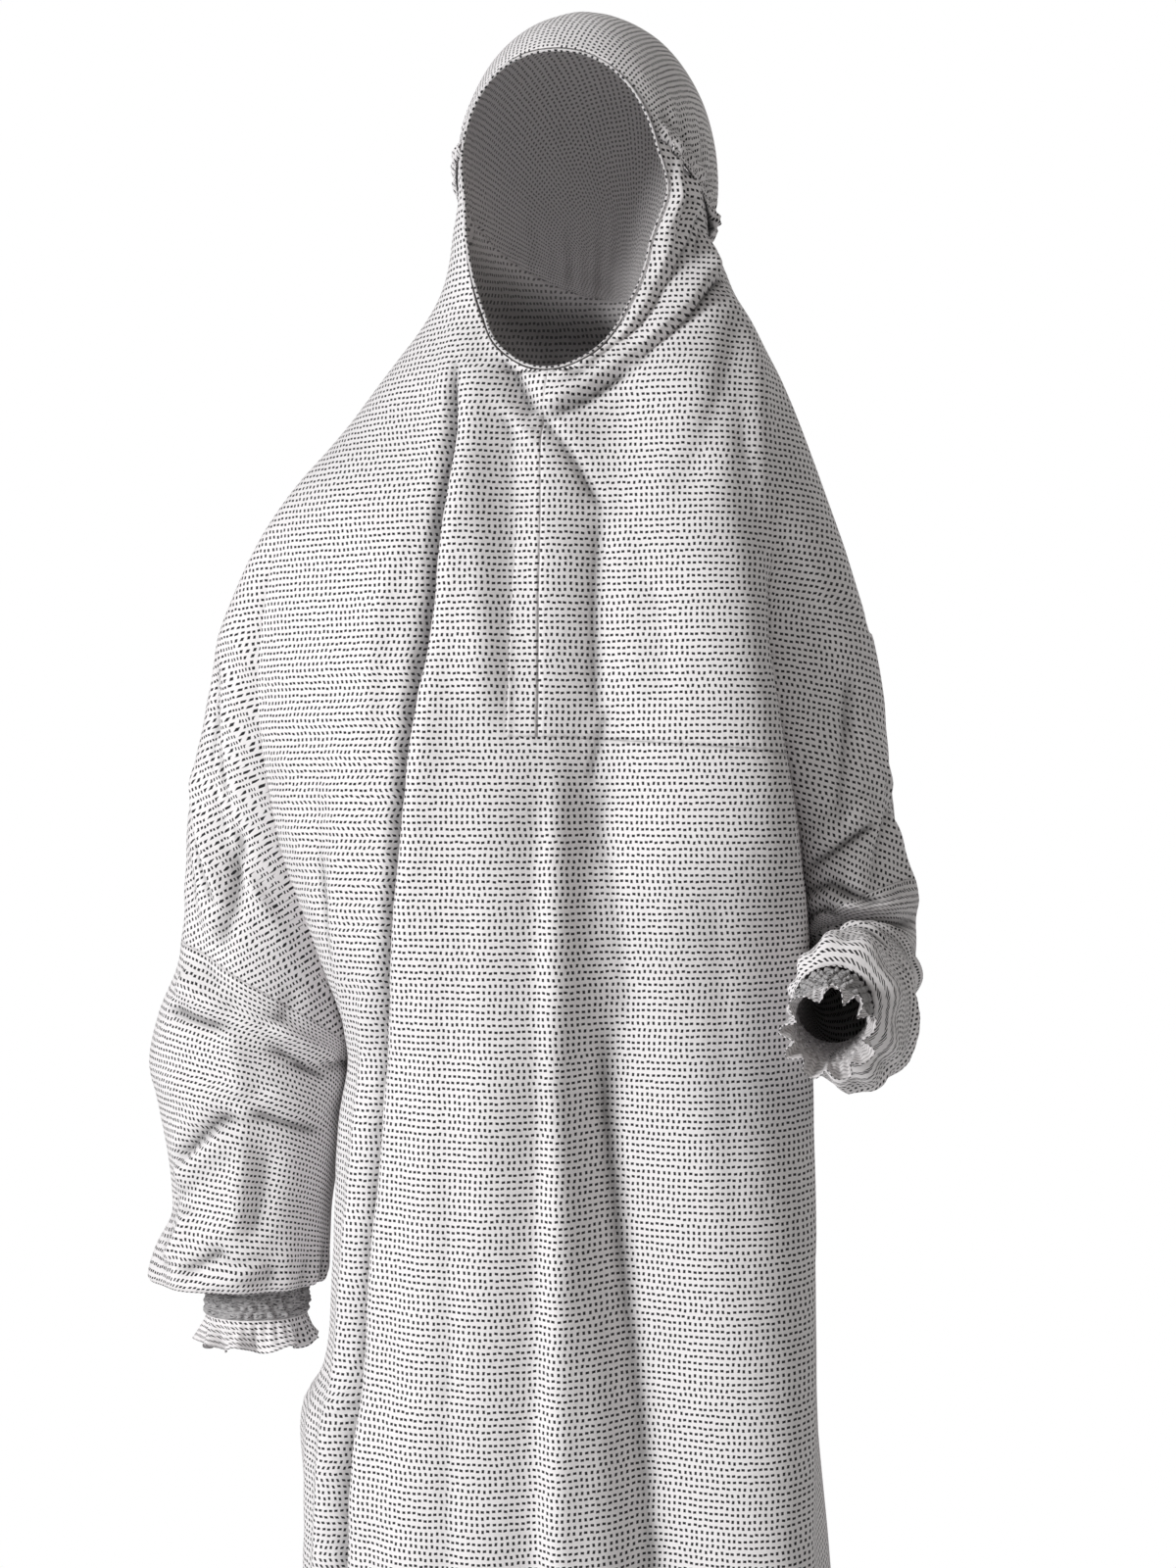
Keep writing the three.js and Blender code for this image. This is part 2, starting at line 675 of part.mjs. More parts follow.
function crownPoint(u, v) {
  const rim = crownRim(u)
  const lean = Math.acos(rim.z) * v
  const round = Math.atan2(rim.x, -rim.y)
  const x = crown.x + crown.across * Math.sin(lean) * Math.sin(round)
  const y = crown.y - crown.along * Math.sin(lean) * Math.cos(round)
  return turned(x, y, crown.z + crown.up * Math.cos(lean))
}

// Angles of the drape's columns at the crown's lower edge, so that both edges share their corners
function drapeAngles() {
  const reach = frontReach.hood
  const first = cornerAngle / reach
  const front = panelColumns.map((u) => mix(first, 1, u) * reach)
  const wing = wingColumns.map((u) => mix(reach, 180 - reach, armSpread(u / 2)))
  const wingBack = wingColumns.map((u) => mix(reach, 180 - reach, armSpread((u + 1) / 2)))
  const back = panelColumns.map((u) => 180 - (1 - u) * reach)
  const half = [...front, ...wing.slice(1), ...wingBack.slice(1), ...back.slice(1)]
  return [...half, ...half.slice(0, -1).reverse().map((angle) => 360 - angle)]
}

function makeCrown() {
  const angleSpan = 360 - 2 * cornerAngle
  const rear = drapeAngles().map((angle) => browShare + ((angle - cornerAngle) / angleSpan) * (1 - browShare))
  const columns = [...browColumns, ...rear.slice(1)]
  return shell('hood_crown', [patch('left', columns, [0.03, 0.3, 0.55, 0.8, 1], crownPoint)], wall)
}

// Rolled hem round the face: a ring of short lengths with the same corners as the cloth edges
function makeBinding() {
  const faceRows = upperRows.left.filter((v) => v <= chinRow)
  const lowerEdge = (side, v) => {
    const z = centreLevel(side, v)
    return frontPoint(side, faceAngle(side, z) / reachAngle(z), z)
  }
  const path = []
  for (const u of browColumns) {
    const point = browPoint(u / browShare, 0)
    path.push(turned(point.x, point.y, point.z))
  }
  for (const v of faceRows.slice(1)) path.push(lowerEdge('left', v))
  for (const v of faceRows.slice(1, -1).reverse()) path.push(lowerEdge('right', v))
  return ringTube('face_binding', path, bindingRadius, 6)
}

function ringTube(name, path, radius, sides) {
  const count = path.length
  const centre = new THREE.Vector3(crown.x, crown.y, face.middle)
  const position = []
  const index = []
  path.forEach((point, i) => {
    const forward = path[(i + 1) % count].clone().sub(path[(i + count - 1) % count]).normalize()
    const across = forward.clone().cross(point.clone().sub(centre)).normalize()
    const out = across.clone().cross(forward)
    for (let k = 0; k < sides; k += 1) {
      const turn = (k / sides) * 2 * Math.PI
      const corner = point.clone().addScaledVector(out, Math.cos(turn) * radius)
      position.push(...corner.addScaledVector(across, Math.sin(turn) * radius).toArray())
    }
  })
  for (let i = 0; i < count; i += 1) {
    for (let k = 0; k < sides; k += 1) {
      const a = i * sides + k
      const b = i * sides + ((k + 1) % sides)
      const c = ((i + 1) % count) * sides + ((k + 1) % sides)
      const d = ((i + 1) % count) * sides + k
      index.push(a, b, c, a, c, d)
    }
  }
  return closedMesh(name, position, index)
}

// Tie band from the temple along the crown's lower edge, ending in a knot behind the ear
function makeTie(side) {
  const angles = drapeAngles().filter((angle) => angle > 59 && angle <= tie.knotAt + tie.knotSpread)
  const first = angles[0]
  const last = angles[angles.length - 1]
  const columns = angles.map((angle) => (angle - first) / (last - first))
  const band = patch(side, columns, [0, 1], (u, v) => {
    const angle = mix(first, last, u)
    return hoodPoint(side, angle, crownEdge(angle) + tie.width * (0.5 - v))
  })
  const lift = wall / 2 + 1.1 + tie.wall / 2
  const raise = (u) => {
    const off = (mix(first, last, u) - tie.knotAt) / tie.knotSpread
    return tie.knotHeight * Math.exp(-off * off)
  }
  return shell(`tie_band_${side}`, [band], tie.wall, { lift, raise })
}

// Lower sleeve from its seam on the wing down to the cuff
const sleeveColumns = steps(16)
const sleeveRows = [...steps(7, 0, 0.9), 0.95, 1]

function makeSleeve(side) {
  const tube = patch(side, sleeveColumns, sleeveRows, (u, v) => {
    const t = armSpread(u)
    const top = armholeLevel(side, t) - seamGap * (1 + 4 * Math.pow(Math.abs(2 * t - 1), 5))
    return armPoint(side, t, mix(top, cuffTop[side], v))
  })
  return shell(`sleeve_${side}`, [tube], wall)
}

// Cuffs and frills run on from the sleeve's last ring, along the forearm
const cuffGap = 1.2

function wristPoint(side, u, distance, grow) {
  const level = cuffTop[side]
  const tilt = radians(along(armRings[side], 'level', 'tilt', level))
  const point = armRing(side, Math.PI * (1 - 2 * u), level, grow)
  return point.add(new THREE.Vector3(0, -Math.sin(tilt), -Math.cos(tilt)).multiplyScalar(distance))
}

function makeCuff(side) {
  const tube = patch(side, steps(cuff.tucks * 2), steps(cuff.rows), (u, v) =>
    wristPoint(side, u, cuffGap + v * cuff.length, -1.8),
  )
  const raise = (u, v) => {
    const tuck = Math.cos(2 * Math.PI * cuff.tucks * u) * Math.cos(Math.PI * cuff.rows * v)
    return cuff.puff * 0.5 * (1 + tuck) * Math.min(1, 6 * v * (1 - v))
  }
  return shell(`cuff_${side}`, [tube], cuff.wall, { raise })
}

function makeFrill(side) {
  const start = cuffGap + cuff.length + seamGap
  const tube = patch(side, steps(frill.waves * 5), steps(3), (u, v) => {
    const wave = Math.sin(2 * Math.PI * frill.waves * u) * frill.waveDepth
    return wristPoint(side, u, start + v * frill.length, -1.8 + (frill.flare + wave) * v * v)
  })
  return shell(`frill_${side}`, [tube], frill.wall)
}

const group = new THREE.Group()
group.add(makeFront(), makeUpperLeft(), makeBack(), makePlacket(), makeCrown(), makeBinding())
for (const side of ['right', 'left']) {
  group.add(makeTie(side), makeSleeve(side), makeCuff(side), makeFrill(side))
}
export default group
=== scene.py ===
import math

import bpy
import numpy as np
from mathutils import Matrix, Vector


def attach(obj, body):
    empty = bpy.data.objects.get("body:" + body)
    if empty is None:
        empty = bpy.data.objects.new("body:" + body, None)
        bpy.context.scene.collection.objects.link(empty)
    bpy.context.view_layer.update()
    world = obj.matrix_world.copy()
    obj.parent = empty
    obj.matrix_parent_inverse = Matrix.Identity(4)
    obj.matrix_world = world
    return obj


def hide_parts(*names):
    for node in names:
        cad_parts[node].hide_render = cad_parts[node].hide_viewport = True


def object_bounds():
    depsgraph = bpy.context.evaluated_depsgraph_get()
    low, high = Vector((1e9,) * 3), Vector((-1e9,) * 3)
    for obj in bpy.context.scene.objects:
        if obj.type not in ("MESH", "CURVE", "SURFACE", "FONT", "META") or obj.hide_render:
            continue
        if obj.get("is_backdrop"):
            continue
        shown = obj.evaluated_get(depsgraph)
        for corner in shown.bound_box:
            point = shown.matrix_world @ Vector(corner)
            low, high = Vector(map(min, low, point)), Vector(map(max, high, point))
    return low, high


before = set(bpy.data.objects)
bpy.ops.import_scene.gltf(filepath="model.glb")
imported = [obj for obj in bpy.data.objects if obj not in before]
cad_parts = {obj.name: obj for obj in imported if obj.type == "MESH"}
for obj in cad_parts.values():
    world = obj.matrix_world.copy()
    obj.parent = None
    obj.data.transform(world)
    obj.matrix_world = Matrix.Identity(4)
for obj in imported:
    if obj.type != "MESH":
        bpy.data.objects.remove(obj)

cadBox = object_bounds()
scene = bpy.context.scene
print("frame loaded")


# camera, light and floor

view = {"azimuth": 8, "distance": 1.9, "height": -0.521, "lens": 64.125, "shiftX": -0.003125}

turn = math.radians(view["azimuth"])
cameraData = bpy.data.cameras.new("camera")
cameraData.lens = view["lens"]
cameraData.sensor_width = 36
cameraData.shift_x = view["shiftX"]
camera = bpy.data.objects.new("camera", cameraData)
camera.location = (view["distance"] * math.sin(turn), -view["distance"] * math.cos(turn), view["height"])
camera.rotation_euler = (math.radians(90), 0, turn)
scene.collection.objects.link(camera)
scene.camera = camera
scene.view_settings.view_transform = "Standard"

lamps = {
    # name: place, aim, size in metres, watts, colour
    "keyLight": ((-2.3, -2.8, 0.4), (-0.05, 0, -0.8), 1.1, 125, (0.985, 0.99, 0.985)),
    "fillLight": ((2.2, -2.2, 0.9), (0, 0, -0.5), 1.6, 7, (1.0, 0.9, 0.76)),
    "backLight": ((0.6, 2.6, 0.9), (0, 0, -0.6), 2.4, 24, (1.0, 0.98, 0.95)),
}
for name, (place, aim, size, watts, colour) in lamps.items():
    lampData = bpy.data.lights.new(name, "AREA")
    lampData.shape = "DISK"
    lampData.size = size
    lampData.energy = watts
    lampData.color = colour
    lamp = bpy.data.objects.new(name, lampData)
    lamp.location = place
    reach = np.array(aim) - np.array(place)
    flat = math.hypot(reach[0], reach[1])
    lamp.rotation_euler = (math.pi / 2 + math.atan2(reach[2], flat), 0, math.atan2(-reach[0], reach[1]))
    scene.collection.objects.link(lamp)

surround = {"seen": 1.0, "light": 0.25}

world = bpy.data.worlds.new("studio")
world.use_nodes = True
scene.world = world
nodes = world.node_tree.nodes
back = nodes["Background"]
path = nodes.new("ShaderNodeLightPath")
level = nodes.new("ShaderNodeMapRange")
level.inputs["To Min"].default_value = surround["light"]
level.inputs["To Max"].default_value = surround["seen"]
world.node_tree.links.new(path.outputs["Is Camera Ray"], level.inputs["Value"])
world.node_tree.links.new(level.outputs["Result"], back.inputs["Strength"])
back.inputs["Color"].default_value = (1, 1, 1, 1)
print("camera and light made")


# shape tools: every length below is in millimetres until a mesh is made

def table(columns, rows):  # the columns by name, from rows of numbers that semicolons part
    return dict(zip(columns.split(), np.array([row.split() for row in rows.split(";")], float).T))


def mix(a, b, t):
    # a where t is 0, b where t is 1
    return a + (b - a) * t


def ease(start, end, value):  # smooth step from 0 at start to 1 at end
    t = np.clip((value - start) / (end - start), 0, 1)
    return t * t * (3 - 2 * t)


def along(rows, key, column, at):
    # cubic Hermite pieces through the rows, each slope taken from the rows on either side
    keys, values = rows[key], rows[column]
    at = np.asarray(at, float)
    last = len(keys) - 1
    i = np.searchsorted(-keys[1:last], -at, side="left")
    after = np.minimum(np.arange(last + 1) + 1, last)
    before = np.maximum(np.arange(last + 1) - 1, 0)
    slope = (values[after] - values[before]) / (keys[after] - keys[before])
    span = keys[i + 1] - keys[i]
    t = np.clip((at - keys[i]) / span, 0, 1)
    bend = slope[i] * span * t * (1 - t) ** 2 - slope[i + 1] * span * t * t * (1 - t)
    return mix(values[i], values[i + 1], t * t * (3 - 2 * t)) + bend


def spaced(start, end, count):
    # count even steps from start to end
    return np.linspace(start, end, count + 1)


def joined(*parts):  # runs of numbers that share their ends
    return np.concatenate([parts[0]] + [part[1:] for part in parts[1:]])


def unevenness(across, down, size=1.0):
    # a few long sine waves that cross at odd angles, so nothing repeats within the piece
    total = 0.0
    for i, (length, angle, height) in enumerate(
        [(173, 12, 1.0), (121, 71, 0.9), (87, -38, 0.7), (61, 24, 0.5), (43, -80, 0.35), (33, 55, 0.28)]
    ):
        a = math.radians(angle)
        phase = 2 * math.pi / length * (across * math.cos(a) + down * math.sin(a))
        total = total + height * np.sin(phase + 1.7 * i + 0.6 * np.sin(phase * 0.37 + i))
    return total * size


def creaseHeight(creases, across, down):
    # each crease is a bell-shaped ridge or trough along two straight runs, fading at its ends
    total = 0.0
    for x1, z1, x2, z2, x3, z3, width, rise, sharp in zip(*creases.values()):
        runs = []
        lengths = [math.hypot(x2 - x1, z2 - z1), math.hypot(x3 - x2, z3 - z2)]
        for k, (ax, az, bx, bz) in enumerate([(x1, z1, x2, z2), (x2, z2, x3, z3)]):
            dx, dz = bx - ax, bz - az
            t = np.clip(((across - ax) * dx + (down - az) * dz) / (dx * dx + dz * dz), 0, 1)
            away = np.hypot(across - ax - dx * t, down - az - dz * t)
            runs.append((away, (t * lengths[k] + (lengths[0] if k else 0)) / sum(lengths)))
        (away1, share1), (away2, share2) = runs
        away, share = np.minimum(away1, away2), np.where(away1 < away2, share1, share2)
        fade = ease(-0.02, 0.22, share) * ease(1.02, 0.74, share)
        total = total + rise * np.exp(-((away / width) ** sharp)) * fade
    return total


# the worn form: hood, body and arms

levels = {"temple": -100, "nape": -178, "chin": -250, "seamCentre": -491, "seamSide": -505, "hem": -1650}
underarm = {"right": -712, "left": -640}
sleeveSeam = {"right": -628, "left": -584}
cuffTop = {"right": -880, "left": -800}
signs = {"right": -1, "left": 1}
crown = {"x": -5, "y": 5, "z": -107, "across": 86, "along": 104, "up": 109}
face = {"halfWidth": 71, "middle": -135, "up": 94, "down": 115, "power": 2.3, "drawnIn": 8.5}
templeAngle = 57
seamGap = 0.06

drapeRings = table("z centre right left mid front back turn", """
    -80 -3 -92 84 5 -92 108 10.5; -110 -3 -94 83 5 -84 106 10.5; -135 -3 -97 82 5 -79 104 10.5;
    -168 -3 -103 87 6 -72 101 10.5; -188 -3 -111 94 8 -69 100 10; -208 -3 -125 106 10 -70 101 10;
    -228 -4 -141 116 12 -78 103 9; -250 -5 -158 127 14 -90 106 8; -289 -13 -188 143 18 -98 113 5;
    -329 -17 -220 158 20 -108 120 2; -370 -19 -246 172 22 -116 126 0; -440 -19 -270 192 24 -125 134 0""")
bodyLine = table("z centre front back", """
    -250 -5 -90 106; -290 -17 -98 113; -350 -19 -112 124; -440 -19 -125 134; -560 -18 -132 142;
    -800 -17 -136 150; -1050 -17 -143 156; -1650 -15 -165 172""")
bodyEdge = {
    "right": table("z frontX frontY backX backY turnIn", """
    -250 -190 -50 -180 100 60; -440 -222 -42 -208 100 62; -555 -213 -28 -212 95 70; -628 -192 -8 -194 75 80;
    -690 -175 19 -176 48 76; -712 -172 31 -172 37 78; -755 -176 33.6 -176 34.4 86; -850 -178 33.8 -178 34.2 90;
    -912 -184 33.8 -184 34.2 90; -946 -204 33.8 -204 34.2 90; -1006 -203 33.8 -203 34.2 90;
    -1100 -203 33.8 -203 34.2 90; -1650 -240 33.8 -240 34.2 90"""),
    "left": table("z frontX frontY backX backY turnIn", """
    -250 110 -60 150 100 60; -420 122 -55 150 105 62; -495 134 -52 156 95 68; -560 143 -28 152 75 78;
    -610 143 8 146 55 76; -640 142 31 142 37 77; -700 140 33.7 140 34.3 86; -774 143 33.8 143 34.2 90;
    -834 147 33.8 147 34.2 90; -954 150 33.8 150 34.2 90; -1034 157 33.8 157 34.2 90; -1650 208 33.8 208 34.2 90"""),
}
armRings = {
    "right": table("level x y z tilt across depth open", """
    -420 -214 30 -420 0 50 82 95; -500 -226 30 -500 0 54 80 100; -560 -236 30 -560 0 52 78 112;
    -640 -243 30 -640 0 51 75 140; -680 -248 30 -680 0 61 74 165; -712 -246 30 -712 0 70.5 72 180;
    -762 -244 26 -762 0 62 69 180; -815 -244 22 -815 0 55 65 180; -845 -250 18 -845 0 60 64 180;
    -868 -251 14 -866 0 58 60 180; -880 -238 12 -853 0 36.2 36.2 180"""),
    "left": table("level x y z tilt across depth open", """
    -420 150 30 -420 0 38 80 95; -500 160 32 -500 0 39 76 105; -560 167 34 -560 0 37 74 130;
    -600 177 36 -601 2 41 70 160; -640 181 30 -643 28 35 62 180; -680 182 -12 -664 62 34 56 180;
    -720 182 -58 -668 80 34 52 180; -760 180 -98 -666 82 34 50 180; -785 176 -120 -663 80 34 46 180;
    -800 170 -128 -660 76 25 26 180"""),
}

# hanging folds: the x of each at four heights, its width and rise, and where it starts and ends
foldLevels = [-290, -620, -1020, -1650]
foldColumns = "shoulder waist knee hem width rise lean sharp start end"
frontFolds = table(foldColumns, """
    -79 -119 -154 -190 6 -5 1 1.6 -225 -2400; -79 -119 -154 -190 3 -17 1 1.6 -225 -2400;
    -64 -103 -138 -174 9 5 1 2 -260 -2400; -91 -131 -166 -202 6 7 1 2 -600 -2400;
    -112 -154 -182 -222 17 6 1 2 -300 -2400; 103 145 151 180 8 -10 1.6 1.7 -205 -620;
    103 125 116 140 19 14 2.3 2 -150 -2400; 103 132 130 160 20 20 2.4 2 -330 -2400;
    -66 -41 -40 -40 9 9 2.6 2 -190 -500; -44 -28 -28 -28 22 -9 0.5 1.8 -215 -520;
    -60 -52 -50 -54 24 7 1.3 2 -480 -2400; -18 -17 -15 -14 13 -6 1.2 1.15 -470 -2400;
    -18 -17 -15 -14 15 -11 2.2 1.2 -690 -2400; -8 -6 -6 -6 13 10 0.8 2 -490 -2400;
    -10 34 82 118 25 -23 1.4 2 -490 -2400; -10 15 66 106 22 -27 1.4 2 -650 -2400;
    32 27 32 32 30 -22 1.3 2 -205 -590; -90 -92 -100 -120 22 8 1 2 -420 -2400;
    -72 -76 -76 -90 7 -2.6 1 1.6 -560 -2400; -150 -186 -196 -232 8 -4 1 1.7 -640 -2400;
    118 134 132 162 6 2.2 1 2 -640 -2400""")
backFolds = table(foldColumns, """
    -104 -140 -160 -190 19 -12 1 1.7 -260 -2400; -62 -84 -104 -128 24 9 1 2 -225 -2400;
    -26 -40 -52 -66 16 -10 1.2 1.7 -215 -2400; 6 4 0 -4 22 8 1 2 -235 -2400;
    34 44 52 66 15 -9 0.8 1.7 -215 -2400; 66 80 94 122 22 8 1 2 -240 -2400;
    96 116 130 160 17 -12 1 1.7 -280 -2400; -80 -110 -128 -158 7 -2.6 1 1.6 -330 -2400;
    -6 -12 -22 -30 7 -2.4 1 1.6 -300 -2400; 52 62 74 92 7 2.2 1 2 -340 -2400;
    -46 -58 -72 -92 6 2 1 2 -420 -2400; 84 98 112 142 6 -2.2 1 1.6 -420 -2400""")

# short creases and rolls by the x and z of their path
creaseColumns = "x1 z1 x2 z2 x3 z3 width rise sharp"
frontCreases = table(creaseColumns, """
    91 -156 67 -203 31 -245 5.5 6.5 2; 42 -236 7 -261 -26 -276 5.5 6.5 2; 97 -172 71 -216 36 -257 4.2 -6.5 1.3;
    46 -250 9 -272 -24 -284 4.2 -6.5 1.3; 68 -116 59 -160 46 -198 4.2 4.5 2; 50 -190 27 -233 -12 -258 4.6 5 2;
    78 -132 70 -164 56 -198 3.4 -4.5 1.3; 62 -184 42 -222 8 -250 3.6 -4.5 1.3; 66 -98 62 -135 50 -172 2.6 3.2 2;
    69 -98 69 -132 60 -174 2.6 -3.6 1.4; 73 -98 75 -134 67 -170 2.8 3.6 2; 77 -100 81 -140 73 -178 2.8 -4 1.4;
    82 -104 88 -146 80 -190 3.4 4.2 2; 92 -130 95 -160 86 -210 3.6 -3.6 1.5; -48 -244 -26 -279 -6 -303 6 -7 1.3;
    -54 -238 -42 -262 -27 -287 6 -8 1.5; -14 -292 6 -318 26 -346 6 -6 1.4; -56 -262 -36 -288 -20 -304 6 5 2;
    100 -196 92 -262 66 -352 10 -6 1.8; -84 -186 -85 -250 -96 -340 9 3 2; -69 -150 -66 -200 -62 -262 7 -3.5 1.7;
    22 -335 19 -397 22 -492 8 -4 1.4; 40 -340 38 -410 40 -480 9 3 2; 56 -385 59 -425 62 -486 6 -2.2 1.5;
    43 -380 46 -425 48 -480 6 1.6 2; 30 -470 22 -500 16 -524 4 -2 1.4; 58 -508 50 -560 60 -640 5 -1.6 1.4;
    104 -300 112 -370 118 -430 6 2 2; -100 -330 -124 -420 -132 -520 6 2.4 2;
    -180 -500 -171 -560 -167 -640 10 -3 1.8; -172 -560 -167 -640 -168 -720 6 -4 1.6;
    -60 -560 -66 -700 -64 -860 7 -1.5 1.6; 86 -560 92 -700 100 -860 6 -1.6 1.6""")
backCreases = table(creaseColumns, """
    -60 -200 -30 -250 10 -262 7 2.6 2; 70 -196 40 -246 -8 -270 7 2.6 2; -84 -230 -50 -300 -46 -380 7 -2.6 1.6;
    88 -230 60 -300 52 -390 7 -2.6 1.6; -30 -420 -36 -520 -34 -640 6 1.6 1.4; 30 -520 36 -620 32 -760 6 -1.6 1.4""")

# slanting creases of the wings and sleeves: around runs over the arm from the front valley to the back one
girth = 330
armCreases = {
    "right": table(creaseColumns, """
    99 -430 62 -520 40 -600 12 -9 2; 33 -545 60 -600 92 -640 9 -9 1.7; 138 -560 96 -640 66 -690 12 -5 1.8;
    84 -470 52 -550 22 -640 7 6 1.8; 120 -500 84 -560 66 -620 8 5 1.8; 112 -540 98 -580 78 -610 7 -7 1.5;
    120 -654 95 -662 70 -674 9 7 2; 124 -674 100 -681 74 -688 6 -7 1.5; 76 -686 77 -712 75 -736 5 5 1.2;
    76 -741 97 -758 124 -780 7 -10 1.5; 76 -752 99 -772 128 -796 8 7 2; 72 -742 50 -752 22 -762 6 -7 1.5;
    66 -728 46 -738 20 -746 7 5 2; 73 -746 75 -790 77 -832 6 6.5 1.2; 60 -762 61 -800 66 -838 9 -6 1.8;
    78 -834 92 -846 108 -853 5 -6 1.5; 52 -846 76 -856 96 -862 4 4 1.8; 56 -680 38 -698 20 -712 5 9 1.8;
    60 -698 42 -714 24 -726 5 -8 1.5; 28 -660 44 -680 60 -688 5 -5 1.5; 128 -800 140 -822 132 -846 7 -5 1.7;
    112 -812 116 -832 124 -850 6 5 1.8; 231 -480 262 -560 290 -640 12 -8 2;
    198 -650 236 -680 270 -720 10 -7 1.8; 205 -790 250 -782 297 -760 8 -6 1.8;
    180 -690 196 -740 186 -800 7 4.5 1.8; 240 -690 252 -740 240 -790 6 4 1.5; 30 -842 70 -850 104 -848 5 3 1.8;
    240 -830 270 -842 300 -830 6 4 1.8; 170 -846 200 -852 232 -846 5 -3 1.8"""),
    "left": table(creaseColumns, """
    -6 -580 40 -567 112 -546 4.5 -8 1.5; -6 -566 40 -553 112 -532 8 6 2; -4 -592 44 -586 104 -604 5 -6.5 1.6;
    -4 -603 44 -596 108 -620 5 5 2; -4 -616 40 -606 96 -640 5.5 -7 1.6; 99 -440 74 -500 46 -560 10 -6 2;
    165 -520 118 -560 79 -600 9 -6 1.8; 185 -610 112 -622 40 -625 8 -7 1.7; 211 -640 140 -652 73 -672 8 6 1.8;
    231 -668 156 -688 86 -712 7 -6 1.7; 218 -720 166 -736 119 -752 7 5 1.8; 238 -460 264 -520 290 -590 12 -7 2;
    257 -560 226 -610 198 -650 10 -6 1.8; 150 -596 96 -606 46 -604 5 5 1.8; 30 -640 70 -660 60 -700 6 -6 1.6;
    60 -730 110 -724 150 -744 5 -6 1.5; 40 -612 90 -634 150 -636 5 6 1.8; 50 -690 100 -700 170 -706 5 5 1.8;
    130 -500 150 -560 146 -610 7 4 1.6; 240 -690 262 -712 250 -752 6 4 1.8;
    120 -640 170 -664 196 -700 5 -3.6 1.5; 90 -470 118 -520 110 -570 6 2.6 1.6;
    30 -752 60 -768 100 -764 5 3.5 1.8; 180 -770 220 -758 262 -772 5 3.5 1.8"""),
}
armDepth = 1.15  # how much deeper these creases are than in the solids
pleats = {"count": 11, "depth": 2.6, "reach": 62}


def crownEdge(angle):
    # level at the temples, then falling by a quarter sine to the nape
    share = np.clip((np.abs(angle) - templeAngle) / (180 - templeAngle), 0, 1)
    return mix(levels["temple"], levels["nape"], np.sin(share * math.pi / 2))


def turned(x, y, z):  # turned about the upright axis, by the table's angle at that height
    t = np.radians(along(drapeRings, "z", "turn", z))
    return np.stack([x * np.cos(t) + y * np.sin(t), y * np.cos(t) - x * np.sin(t), z + 0 * x], axis=-1)


def drapeHalf(side, z):
    # half-width of the drape at that height, on that side
    return np.abs(along(drapeRings, "z", side, z) - along(drapeRings, "z", "centre", z))


def hoodPoint(side, angle, z):
    # above, an ellipsoid; below the crown's edge, rings of the drape
    s, c = np.sin(np.radians(angle)), np.cos(np.radians(angle))
    narrow = np.sqrt(1 - np.clip((z - crown["z"]) / crown["up"], -1, 1) ** 2)
    centre, mid = along(drapeRings, "z", "centre", z), along(drapeRings, "z", "mid", z)
    reach = np.where(c > 0, mid - along(drapeRings, "z", "front", z), along(drapeRings, "z", "back", z) - mid)
    drop = ease(0, 36, crownEdge(angle) - z)
    sign = signs[side]
    x = mix(crown["x"] + sign * crown["across"] * narrow * s, centre + sign * drapeHalf(side, z) * s, drop)
    y = mix(crown["y"] - crown["along"] * narrow * c, mid - reach * c, drop)
    return turned(x, y, z)


def faceHalf(z):  # half-width of the face opening at a height, a rounded oval
    up = z > face["middle"]
    share = np.clip((z - face["middle"]) / np.where(up, face["up"], -face["down"]), 0, 1)
    power = np.where(up, face["power"], 2.0)
    return face["halfWidth"] * (1 - share**power) ** (1 / power)


def faceAngle(side, z):
    half = mix(crown["across"], drapeHalf(side, z), ease(0, 36, levels["temple"] - z))
    # the left edge is drawn in between the brow and the join under the opening
    drawn = face["drawnIn"] * ease(-118, -170, z) * ease(-249, -200, z) if side == "left" else 0
    return np.degrees(np.arcsin(np.clip((faceHalf(z) - drawn) / half, 0, 1)))


def reachAngle(z):
    # degrees from the centre line to the valley, fewer lower down
    return mix(75, 52, ease(-150, -420, z))


def bodyShare(z):
    # 0 on the hood and 1 on the body, with a smooth step between
    return ease(-265, -430, z)


def foldHeight(folds, creases, x, z):
    total = creaseHeight(creases, x, z)
    for shoulder, waist, knee, hem, width, rise, lean, sharp, start, end in zip(*folds.values()):
        path = {"z": np.array(foldLevels, float), "x": np.array([shoulder, waist, knee, hem])}
        middle = along(path, "z", "x", z)
        fade = ease(start, start - 90, z) * ease(end, end + 60, z)
        wide = np.where(x < middle, width * lean, width)  # one flank may be steeper than the other
        bell = np.exp(-(np.abs((x - middle) / wide) ** sharp))
        total = total + rise * bell * fade * (0.88 + 0.12 * np.sin(z / 90 + waist))
    return total + unevenness(x, z, 0.55) * ease(-230, -330, z)


def pushed(points, height):  # moved away from the garment's middle line
    away = points[..., :2] - np.array([-15.0, 25.0])
    away = away / np.linalg.norm(away, axis=-1, keepdims=True)
    return np.concatenate([points[..., :2] + away * height[..., None], points[..., 2:]], axis=-1)


def arcShares(part, turnIn):
    # shares of the way out and back along an arc, by the 0.9 power of sine and cosine
    across = lambda angle: np.sin(angle) ** 0.9
    behind = lambda angle: 1 - np.maximum(np.cos(angle), 0) ** 0.9
    return across(part * turnIn) / across(turnIn), behind(part * turnIn) / behind(turnIn)


